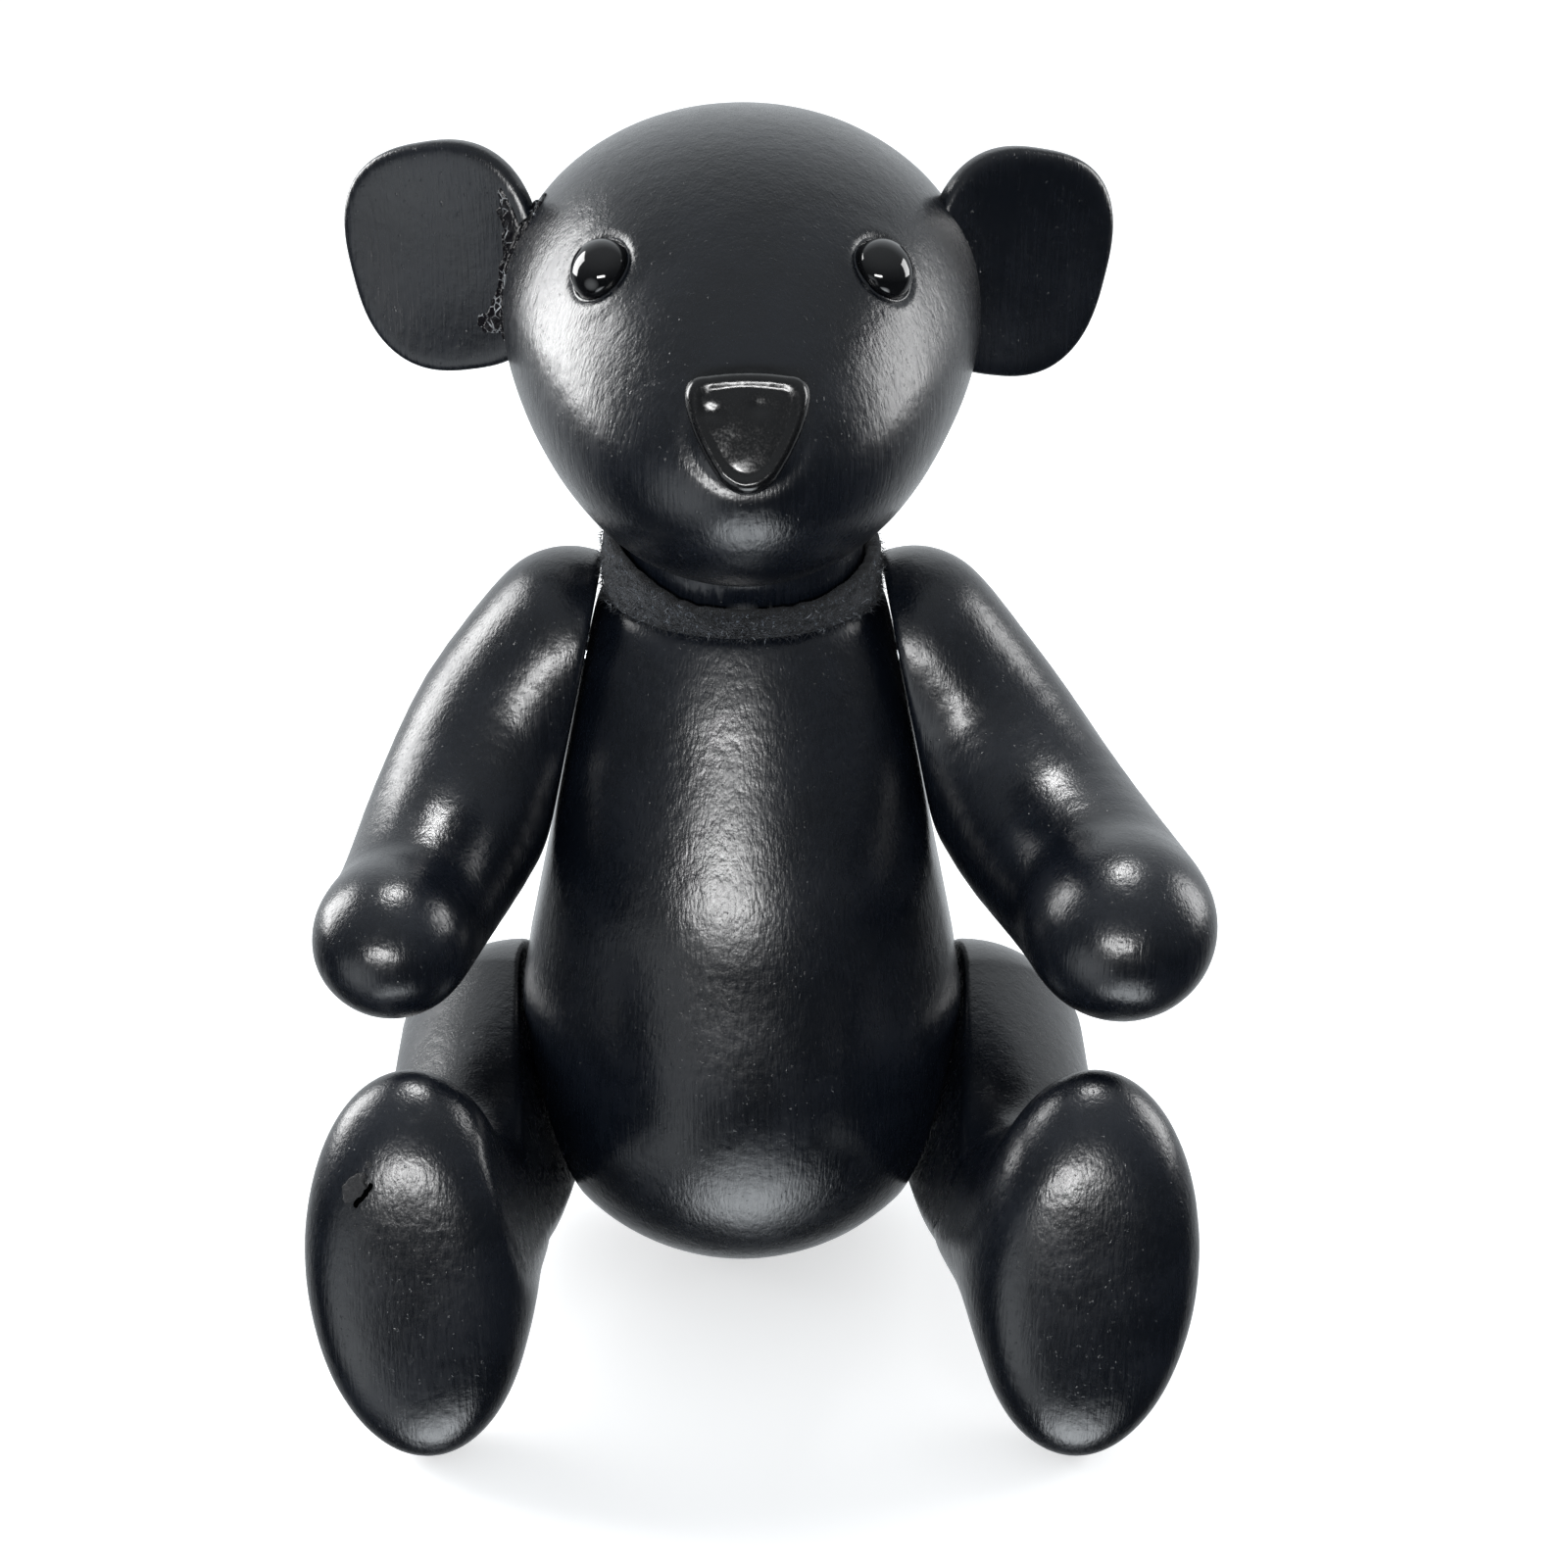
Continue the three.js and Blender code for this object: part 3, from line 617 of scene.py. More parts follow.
def add(tree, kind, inputs=(), out=0, **settings):
    """Adds a node with its settings. Its inputs, by place or by name, are values or other nodes'
    outputs. Gives back one of its outputs."""
    node = tree.nodes.new("ShaderNode" + kind)
    for key, value in settings.items():
        setattr(node, key, value)
    for key, value in inputs.items() if isinstance(inputs, dict) else enumerate(inputs):
        if isinstance(value, bpy.types.NodeSocket):
            tree.links.new(value, node.inputs[key])
        else:
            node.inputs[key].default_value = value
    return node.outputs[out] if node.outputs else node


def summed(tree, terms):
    """The sum of outputs, each times its weight."""
    total = 0.0
    for source, weight in terms:
        total = add(tree, "Math", [source, weight, total], operation="MULTIPLY_ADD")
    return total


def new_material(name, **sockets):
    """A material, its node tree and its Object coordinates. The values of its Principled shader
    that are even all over sit on the shader's own sockets."""
    material = bpy.data.materials.new(name)
    material.use_nodes = True
    tree = material.node_tree
    tree.nodes.clear()
    even = {key.replace("_", " "): value for key, value in sockets.items()}
    add(tree, "OutputMaterial", {"Surface": add(tree, "BsdfPrincipled", even)})
    return material, tree, add(tree, "TexCoord", out="Object")


def dressed(material, tone, rough=None, height=None, deep_mm=0.0):
    """Gives a material's shader its colour, its roughness and a bump: heights from 0 to 1 stand
    deep_mm high."""
    tree = material.node_tree
    found = {"Base Color": tone, "Roughness": rough}
    if height is not None:
        found["Normal"] = add(tree, "Bump", {"Distance": deep_mm * MM, "Height": height})
    for key, source in found.items():
        if source is not None:
            tree.links.new(source, tree.nodes["Principled BSDF"].inputs[key])
    return material


def lacquer_material(name, colours, brush=(0.5, 0.5, 9.0)):
    """Satin black lacquer, brushed over sanded cast resin. It gives the eye a deep blue-black,
    a soft broad gleam broken by orange peel and a leathery grain, faint brush streaks, and
    patches rubbed duller or brighter by handling. The grain is drawn coarser than the real one,
    so that it shows."""
    material, tree, place = new_material(name, IOR=1.5)
    along = add(tree, "Mapping", {"Vector": place, "Scale": [per_mm(each) for each in brush]})
    broad = add(tree, "TexNoise", {"Vector": place, "Scale": per_mm(14), "Detail": 3.0})
    peel = add(tree, "TexNoise", {"Vector": place, "Scale": per_mm(1.7), "Detail": 2.5})
    pores = {"Vector": place, "Scale": per_mm(2.6), "Smoothness": 0.6}
    leather = add(tree, "TexVoronoi", pores, feature="SMOOTH_F1")
    streak = add(tree, "TexNoise", {"Vector": along, "Scale": 1.0, "Detail": 3.0, "Roughness": 0.55})
    grit = add(tree, "TexNoise", {"Vector": place, "Scale": per_mm(0.5), "Detail": 1.0})
    dust = add(tree, "TexNoise", {"Vector": place, "Scale": per_mm(0.75), "Detail": 1.0})
    speck = add(tree, "MapRange", [dust, 0.7, 0.76, 0.0, 1.0])
    rubbed = add(tree, "MapRange", [summed(tree, [(broad, 0.7), (streak, 0.3)]), 0.42, 0.62, 0.0, 1.0])
    tones = {0: rubbed, 6: linear(colours.lacquer), 7: linear(colours.lacquer_worn)}
    gloss = summed(tree, [(broad, 0.45), (streak, 0.35), (peel, 0.2)])
    return dressed(
        material,
        add(tree, "Mix", tones, 2, data_type="RGBA"),
        add(tree, "MapRange", [gloss, 0.32, 0.68, 0.2, 0.34]),
        summed(tree, [(peel, 0.55), (leather, 0.3), (streak, 0.55), (grit, 0.12), (speck, 0.25)]),
        0.12,
    )


def gloss_material(name, colours, low=0.04, high=0.1, waver=0.03):
    """Polished black plastic, moulded and then dipped in clear gloss. It gives the eye hard
    small highlights with the slight waver and dust of a dipped coat."""
    material, tree, place = new_material(name, IOR=1.5)
    haze = add(tree, "TexNoise", {"Vector": place, "Scale": per_mm(2.6)})
    dust = add(tree, "TexNoise", {"Vector": place, "Scale": per_mm(0.35), "Detail": 1.0})
    tones = {0: haze, 6: linear(colours.gloss), 7: linear("#08090b")}
    tone = add(tree, "Mix", tones, 2, data_type="RGBA")
    return dressed(material, tone, add(tree, "MapRange", [dust, 0.4, 0.75, low, high]), haze, waver)


def felt_material(name, colours):
    """Black wool felt, pressed and cut. It gives the eye no gleam, a matted nap that catches
    light at its edge, and bluish specks of lint."""
    material, tree, place = new_material(
        name, Roughness=0.95, Sheen_Weight=0.14, Sheen_Roughness=0.5, Sheen_Tint=(0.42, 0.46, 0.52, 1)
    )
    nap = {"Vector": place, "Scale": per_mm(1.5), "Detail": 6.0, "Roughness": 0.8}
    matted = add(tree, "TexNoise", nap)
    knots = add(tree, "MapRange", [matted, 0.4, 0.62, 0.0, 1.0])
    hairs = {"Vector": place, "Scale": per_mm(0.55)}
    fibre = add(tree, "TexVoronoi", hairs, feature="DISTANCE_TO_EDGE")
    lint = add(tree, "MapRange", [add(tree, "TexNoise", hairs), 0.6, 0.7, 0.0, 0.9])
    tones = {0: knots, 6: linear("#010203"), 7: linear(colours.felt)}
    flecked = {0: lint, 6: add(tree, "Mix", tones, 2, data_type="RGBA"), 7: linear("#4a525c")}
    tone = add(tree, "Mix", flecked, 2, data_type="RGBA")
    return dressed(material, tone, None, summed(tree, [(matted, 1.0), (fibre, 0.8)]), 1.1)


def lint_material(name, colours):
    """Pale lint, loose wool ends caught in the felt. It gives the eye tiny soft light flecks."""
    material, tree, place = new_material(name, Roughness=0.9, Sheen_Weight=0.3)
    cloud = add(tree, "TexNoise", {"Vector": place, "Scale": per_mm(2.0)})
    tones = {0: cloud, 6: linear("#4b5159"), 7: linear(colours.lint)}
    return dressed(material, add(tree, "Mix", tones, 2, data_type="RGBA"))


def glue_material(name, colours):
    """Dark instant glue, run out of a mended joint and crazed as it set. It gives the eye a wet
    black gloss with fine bright cracks."""
    material, tree, place = new_material(name, IOR=1.3)
    crazing = {"Vector": place, "Scale": per_mm(1.7)}
    cracks = add(tree, "TexVoronoi", crazing, feature="DISTANCE_TO_EDGE")
    crack = add(tree, "MapRange", [cracks, 0.0, 0.06, 1.0, 0.0])
    cloud = add(tree, "TexNoise", {"Vector": place, "Scale": per_mm(4.0), "Detail": 3.0})
    patchy = add(tree, "MapRange", [cloud, 0.46, 0.6, 0.0, 1.0])
    pale = add(tree, "Math", [crack, patchy], operation="MULTIPLY")
    runs = add(
        tree, "TexNoise", {"Vector": place, "Scale": per_mm(0.8), "Detail": 3.0, "Roughness": 0.6}
    )
    tones = {0: pale, 6: linear(colours.glue), 7: linear("#9a9ea2")}
    return dressed(
        material,
        add(tree, "Mix", tones, 2, data_type="RGBA"),
        add(tree, "MapRange", [pale, 0, 1, 0.07, 0.6]),
        summed(tree, [(runs, 1.0), (crack, -0.4)]),
        0.16,
    )


def chip_material(name, colours):
    """Chipped lacquer over bare cast resin: grey and gritty where it has broken away, painted shade
    (near black) in the crack under the lifted flake, and satin where the paint still holds."""
    material, tree, place = new_material(name, IOR=1.5)
    bare = add(tree, "Attribute", out="Fac", attribute_name="bare")
    deep = add(tree, "Attribute", out="Fac", attribute_name="deep")
    rough = {"Vector": place, "Scale": per_mm(0.3), "Detail": 3.0, "Roughness": 0.7}
    grit = add(tree, "TexNoise", rough)
    tones = {0: grit, 6: linear("#151517"), 7: linear(colours.resin)}
    resin = add(tree, "Mix", tones, 2, data_type="RGBA")
    broken = {0: bare, 6: linear(colours.lacquer), 7: resin}
    # painted shade: near-black colour where the deep mark lies, in the crack under the flake's edge
    crack_painted_shade = {0: deep, 6: add(tree, "Mix", broken, 2, data_type="RGBA"), 7: linear("#010101")}
    tone = add(tree, "Mix", crack_painted_shade, 2, data_type="RGBA")
    return dressed(material, tone, add(tree, "MapRange", [bare, 0, 1, 0.32, 0.55]), grit, 0.4)


def crack_shade_material(name, colours):
    """Painted shade for the open crack under a lifted flake: a dead black line with no gleam, standing in for the
    shadow in the crack.
    """
    material, tree, place = new_material(name, Roughness=1.0, Specular_IOR_Level=0.0)
    cloud = add(tree, "TexNoise", {"Vector": place, "Scale": per_mm(0.5)})
    tones = {0: cloud, 6: linear("#000000"), 7: linear("#030303")}
    return dressed(material, add(tree, "Mix", tones, 2, data_type="RGBA"))


def metal_material(name, low, high, rough, groove=0.25):
    """Turned or plated metal. It gives the eye fine turning lines and a slightly cloudy shine."""
    material, tree, place = new_material(name, Metallic=1.0)
    cloud = add(tree, "TexNoise", {"Vector": place, "Scale": per_mm(3.0), "Detail": 3.0})
    lines = add(tree, "TexNoise", {"Vector": place, "Scale": per_mm(groove), "Detail": 1.0})
    tone = add(tree, "Mix", {0: cloud, 6: linear(low), 7: linear(high)}, 2, data_type="RGBA")
    shine = add(tree, "MapRange", [cloud, 0.3, 0.7, rough - 0.07, rough + 0.1])
    return dressed(material, tone, shine, lines, 0.01)


def nylon_material(name):
    """Natural moulded nylon. It gives the eye a milky off-white with a waxy gleam."""
    material, tree, place = new_material(name, IOR=1.53, Subsurface_Weight=0.2, Subsurface_Scale=0.001)
    cloud = add(tree, "TexNoise", {"Vector": place, "Scale": per_mm(5.0)})
    skin_grain = add(tree, "TexNoise", {"Vector": place, "Scale": per_mm(0.6)})
    tones = {0: cloud, 6: linear("#cfcbbd"), 7: linear("#e2dfd3")}
    shine = add(tree, "MapRange", [cloud, 0.3, 0.7, 0.38, 0.52])
    return dressed(material, add(tree, "Mix", tones, 2, data_type="RGBA"), shine, skin_grain, 0.02)


def beech_material(name):
    """Bare turned beech. It gives the eye warm straight grain with short dark flecks."""
    material, tree, place = new_material(name, IOR=1.5)
    along = add(tree, "Mapping", {"Vector": place, "Scale": [per_mm(each) for each in (0.7, 0.7, 12)]})
    grain = add(tree, "TexNoise", {"Vector": along, "Scale": 1.0, "Detail": 4.0, "Roughness": 0.6})
    short = add(tree, "Mapping", {"Vector": place, "Scale": [per_mm(each) for each in (0.3, 0.9, 2.2)]})
    rays = add(tree, "TexNoise", {"Vector": short, "Scale": 1.0, "Detail": 1.0})
    fleck = add(tree, "MapRange", [rays, 0.62, 0.7, 0.0, 0.6])
    tones = {0: grain, 6: linear("#a87848"), 7: linear("#cda06c")}
    flecked = {0: fleck, 6: add(tree, "Mix", tones, 2, data_type="RGBA"), 7: linear("#7c5230")}
    tone = add(tree, "Mix", flecked, 2, data_type="RGBA")
    return dressed(material, tone, add(tree, "MapRange", [grain, 0.3, 0.7, 0.55, 0.7]), grain, 0.05)


def rubber_material(name):
    """Moulded black rubber. It gives the eye a dull, slightly dusty black."""
    material, tree, place = new_material(name, IOR=1.52)
    bloom = {"Vector": place, "Scale": per_mm(2.0), "Detail": 4.0, "Roughness": 0.65}
    dust = add(tree, "TexNoise", bloom)
    pitted = add(tree, "TexNoise", {"Vector": place, "Scale": per_mm(0.4)})
    tones = {0: dust, 6: linear("#0c0c0c"), 7: linear("#232323")}
    tone = add(tree, "Mix", tones, 2, data_type="RGBA")
    return dressed(material, tone, add(tree, "MapRange", [dust, 0.3, 0.7, 0.65, 0.85]), pitted, 0.03)


def shared(name, make, *args):
    """The named material, made the first time that it is asked for."""
    return bpy.data.materials.get(name) or make(name, *args)


def lacquer(colours):
    return shared("satin_black_lacquer", lacquer_material, colours)


# ---- operators ------------------------------------------------------------------------------


class TEDDY_OT_torso(bpy.types.Operator):
    """Belly and chest as one lacquered body with a flat for each joint"""

    bl_idname = "teddy.torso"
    bl_label = "Body"
    bl_options = {"REGISTER", "UNDO"}

    def execute(self, context):
        forms, colours = context.scene.teddy_forms, context.scene.teddy_colours
        spine = [[0, 0, forms.belly_height - 3], [0, 1, BODY_TOP - forms.chest_below - 2]]
        points, faces = capped(skin(torso_form(forms), spine, 320, 280))
        piece = put("torso_skin", points, faces, lacquer(colours), "torso", "lacquer")
        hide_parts("torso_shell")
        return {"FINISHED"}


class TEDDY_OT_head(bpy.types.Operator):
    """Skull and muzzle as one lacquered head, with its neck inside the collar"""

    bl_idname = "teddy.head"
    bl_label = "Head"
    bl_options = {"REGISTER", "UNDO"}

    def execute(self, context):
        forms, colours = context.scene.teddy_forms, context.scene.teddy_colours
        spine = [[0, 0, BODY_TOP + 46], [0, -20, BODY_TOP + 42]]
        points, faces = capped(skin(head_form(forms), spine, 300, 280))
        piece = put("head_skin", points, faces, lacquer(colours), "head", "lacquer")
        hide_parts("head_shell")
        return {"FINISHED"}


class TEDDY_OT_limbs(bpy.types.Operator):
    """Two arms with round paws and two legs with long oval soles"""

    bl_idname = "teddy.limbs"
    bl_label = "Arms and legs"
    bl_options = {"REGISTER", "UNDO"}

    def execute(self, context):
        forms, colours = context.scene.teddy_forms, context.scene.teddy_colours
        for side in SIDES:
            inside = arm_path(side)
            inside[0] = (inside[0][0] + SIDES[side] * 5.5, inside[0][1], inside[0][2] - 1.5, 0)
            points, faces = capped(skin(arm_form(forms, side), inside, 190, 240, reach=50))
            arm = put("arm_skin_" + side, points, faces, lacquer(colours), "arm_" + side, "lacquer")
            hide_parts("arm_" + side)
            foot = (foot_place(side)[0], 48)
            path = leg_path(side)
            grid = skin(leg_form(forms, side), path, 220, 260, reach=60, foot=foot, gather=0.22)
            leg = put("leg_skin_" + side, *capped(grid), lacquer(colours), "leg_" + side, "lacquer")
            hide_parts("leg_" + side)
        return {"FINISHED"}


class TEDDY_OT_ears(bpy.types.Operator):
    """Two dished ears with thick rims"""

    bl_idname = "teddy.ears"
    bl_label = "Ears"
    bl_options = {"REGISTER", "UNDO"}

    def execute(self, context):
        forms, colours = context.scene.teddy_forms, context.scene.teddy_colours
        for side in SIDES:
            points, faces = capped(ear_grid(forms, side))
            ear = put("ear_skin_" + side, points, faces, lacquer(colours), "head", "lacquer")
            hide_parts("ear_" + side)
        return {"FINISHED"}


class TEDDY_OT_eyes(bpy.types.Operator):
    """Two glossy domed eyes on stems, each in a bead of pooled paint"""

    bl_idname = "teddy.eyes"
    bl_label = "Eyes"
    bl_options = {"REGISTER", "UNDO"}

    def execute(self, context):
        forms, colours = context.scene.teddy_forms, context.scene.teddy_colours
        gloss = shared("dipped_gloss_black", gloss_material, colours)
        head = head_form(forms)
        for side in SIDES:
            where = eye_place(forms, side)
            r, foot, rim, dome = forms.eye_radius, -1.3, 0.9, 4.3
            a = np.linspace(0, np.pi / 2, 28)
            bulge = np.stack([r * np.cos(a) ** 0.92, foot + rim + (dome + 0.6 - rim) * np.sin(a)], -1)
            stem = [(0, -9.0), (1.6, -9.0), (1.6, foot), (r - 0.4, foot), (r - 0.06, foot + 0.25)]
            profile = np.concatenate([stem, bulge])
            profile[-1, 0] = 0
            points, faces = capped(lathe(profile, 72, where))
            eye = put("eye_dome_" + side, points, faces, gloss, "head", "gloss_black")
            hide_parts("eye_" + side)
            t = np.linspace(0, 2 * np.pi, 160, endpoint=False)
            circle = settle(head, place_in(on_circle(5.15, t), where))
            inward = unit(where[0] - circle)
            out = slope_of(head, circle)
            thick = 0.2 + 0.1 * lumps(circle, 2.4, 41 + SIDES[side])
            a = np.linspace(0, 2 * np.pi, 14, endpoint=False)[:, None, None]
            bead = np.cos(a) * inward[None] * 1.25 + np.sin(a) * out[None]
            grid = circle[None] + thick[None, :, None] * bead
            put("eye_bead_" + side, *looped(grid), lacquer(colours), "head", "lacquer")
        return {"FINISHED"}


class TEDDY_OT_nose(bpy.types.Operator):
    """A rounded three-cornered nose with a thick rim and two dimples"""

    bl_idname = "teddy.nose"
    bl_label = "Nose"
    bl_options = {"REGISTER", "UNDO"}

    def execute(self, context):
        forms, colours = context.scene.teddy_forms, context.scene.teddy_colours
        gloss = shared("brushed_gloss_black", gloss_material, colours, 0.16, 0.3, 0.12)
        outline = nose_outline(240)
        middle = np.array([NOSE_ASIDE, 0.7])
        # (share of the outline, height) from the back round the rim to the middle of the front
        rows = [(0.0, -2.3), (0.5, -2.3), (0.93, -2.3), (0.975, -2.0), (0.99, -1.0), (1.0, 0.4)]
        rows += [(1.0, 1.6), (0.992, 2.2), (0.972, 2.75), (0.945, 3.2), (0.91, 3.52), (0.87, 3.7)]
        rows += [(0.83, 3.74), (0.79, 3.66), (0.75, 3.54), (0.72, 3.46)]
        rows += [(s, 3.42 + 0.5 * (1 - (s / 0.7) ** 2)) for s in np.linspace(0.69, 0.0, 26)]
        share, high = np.array(rows).T
        flat = middle + share[:, None, None] * (outline - middle)[None]
        z = np.repeat(high[:, None], len(outline), 1)
        front = (np.arange(len(rows)) > 12)[:, None]
        for (x, y), wide, deep in [((-4.2, 3.0), 1.5, 0.5), ((2.6, 3.8), 1.7, 0.4)]:
            off2 = (flat[..., 0] - x) ** 2 + ((flat[..., 1] - y) * 1.25) ** 2
            z = z - deep * np.exp(-off2 / wide**2) * front
        own = np.concatenate([flat, z[..., None]], -1)
        own[..., 2] += 0.12 * lumps(own, 3.2, 47) * front
        grid = place_in(own, nose_place(forms))
        nose = put("nose_pad", *capped(grid), gloss, "head", "gloss_black")
        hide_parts("nose")
        stem = lathe([(0, -9), (1.6, -9), (1.6, -2.0), (0, -2.0)], 32, nose_place(forms))
        put("nose_stem", *capped(stem), gloss, "head", "gloss_black")
        return {"FINISHED"}


def fibres(roots, ways, lengths, thick, rng):
    """Loose fibres as one mesh: each is a three-sided tube of four rings that thins to a point
    and curls by a random sideways push that grows with the square of the way along."""
    count, rings = len(roots), 4
    along = np.linspace(0, 1, rings)
    curl = unit(rng.normal(size=(count, 3))) * lengths[:, None] * 0.55
    line = roots[:, None] + ways[:, None] * (lengths[:, None] * along)[..., None]
    line = line + curl[:, None] * (along**2)[None, :, None]
    side = unit(np.cross(ways, rng.normal(size=(count, 3))))
    other = np.cross(ways, side)
    t = np.linspace(0, 2 * np.pi, 3, endpoint=False)
    ring = np.cos(t)[None, :, None] * side[:, None] + np.sin(t)[None, :, None] * other[:, None]
    radius = thick * (1 - 0.8 * along)
    grid = line[:, :, None] + radius[None, :, None, None] * ring[:, None]
    points = grid.reshape(-1, 3)
    start = (np.arange(count) * rings * 3)[:, None, None]
    quads = (quads_of(rings, 3)[None] + start).reshape(-1, 4)
    first = start[:, 0] + np.array([2, 1, 0])
    final = start[:, 0] + (rings - 1) * 3 + np.array([0, 1, 2])
    return points, [quads, first, final]


class TEDDY_OT_collar(bpy.types.Operator):
    """A band of felt round the foot of the neck, with fuzz and lint"""

    bl_idname = "teddy.collar"
    bl_label = "Felt collar"
    bl_options = {"REGISTER", "UNDO"}

    def execute(self, context):
        forms, colours = context.scene.teddy_forms, context.scene.teddy_colours
        felt = shared("pressed_black_felt", felt_material, colours)
        head = plain_head(forms)
        t = np.linspace(0, 2 * np.pi, 420, endpoint=False)
        middle, half = 23.1, 1.5
        low = BODY_TOP + 0.35 + 0.12 * lumps(on_circle(9, t), 1.5, 51)
        near, far = np.full(len(t), BODY_TOP + 1.0), np.full(len(t), BODY_TOP + 19.8)
        for _ in range(24):
            z = (near + far) / 2
            under = head(on_circle(middle + half, t, z)) > 0.25
            near, far = np.where(under, z, near), np.where(under, far, z)
        edge = on_circle(23, t)
        # the band is cut lower in front and higher on the right
        cut = 8.8 - 3.6 * smooth(-np.sin(t) * 1.3 - 0.2) + 3.0 * smooth(-np.cos(t) * 1.4 - 0.3)
        cut = cut + 0.5 * lumps(edge, 5.0, 54) + 0.3 * lumps(edge, 1.6, 55)
        near = np.minimum(near, BODY_TOP + cut)
        a = np.linspace(0, 2 * np.pi, 44, endpoint=False)[:, None]
        across = np.sign(np.cos(a)) * np.abs(np.cos(a)) ** 0.5
        tall = np.sign(np.sin(a)) * np.abs(np.sin(a)) ** 0.75
        radius = middle + half * across
        z = (near + low) / 2 + (near - low) / 2 * tall
        grid = on_circle(radius, t, z)
        matted = 0.16 * lumps(grid, 1.1, 52) + 0.2 * lumps(grid, 3.4, 53)
        outward = on_circle(1, t)[None]
        grid = grid + (matted * (across > 0.2))[..., None] * outward
        points, faces = looped(grid)
        collar = put("felt_collar", points, faces, felt, "head", "felt")
        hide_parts("neck_collar")

        rng = np.random.default_rng(7)
        for name, count, thick, longest, finish in [
            ("collar_fuzz", forms.fuzz, 0.07, 1.7, felt),
            ("collar_lint", 320, 0.06, 1.1, shared("pale_lint", lint_material, colours)),
        ]:
            pick = rng.integers(0, len(t), count)
            share = rng.random(count) ** 1.4
            root = outward[0][pick] * (middle + half * 0.96) + np.array([0, 0, 1.0]) * (
                low[pick] + share * (near[pick] - low[pick]) * 0.95
            )[:, None]
            way = unit(
                outward[0][pick] * 0.7 + rng.normal(size=(count, 3)) * 0.75 - np.array([0, 0, 0.25])
            )
            length = longest * (0.35 + 0.65 * rng.random(count))
            points, faces = fibres(root, way, length, thick, rng)
            put(name, points, faces, finish, "head", "felt")
        return {"FINISHED"}


class TEDDY_OT_felts(bpy.types.Operator):
    """A felt disc in each shoulder and hip"""

    bl_idname = "teddy.felts"
    bl_label = "Joint felts"
    bl_options = {"REGISTER", "UNDO"}

    def execute(self, context):
        colours = context.scene.teddy_colours
        felt = shared("pressed_black_felt", felt_material, colours)
        for limb, joints in (("arm", SHOULDERS), ("leg", HIPS)):
            for side, (at, out) in joints.items():
                a = np.linspace(0, 2 * np.pi, 24, endpoint=False)[:, None]
                t = np.linspace(0, 2 * np.pi, 120, endpoint=False)
                edge = 11 + 0.12 * lumps(on_circle(9, t), 1.2, 61)
                middle, half = (edge + 3.5) / 2, (edge - 3.5) / 2
                radius = middle + half * np.sign(np.cos(a)) * np.abs(np.cos(a)) ** 0.35
                high = 0.8 + 0.5 * np.sign(np.sin(a)) * np.abs(np.sin(a)) ** 0.35
                own = on_circle(radius, t, high)
                points, faces = looped(place_in(own, standing(at, out)))
                body = limb + "_" + side
                disc = put("felt_disc_" + body, points, faces, felt, body, "felt")
                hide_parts(body + "_felt")
        return {"FINISHED"}


def ear_root(forms, side, heights):
    """Points where an ear's front meets the head, one for each of its own heights, found by
    halving along the ear's own X."""
    head = plain_head(forms)
    where = ear_place(side)
    towards = -SIDES[side]
    near, far = np.zeros(len(heights)), np.full(len(heights), forms.ear[0] * 0.985)
    for _ in range(30):
        x = (near + far) / 2
        own = np.stack([towards * x, -ear_front(forms, x, heights), heights], -1)
        outside = head(place_in(own, where)) > 0
        near, far = np.where(outside, x, near), np.where(outside, far, x)
    return towards * near


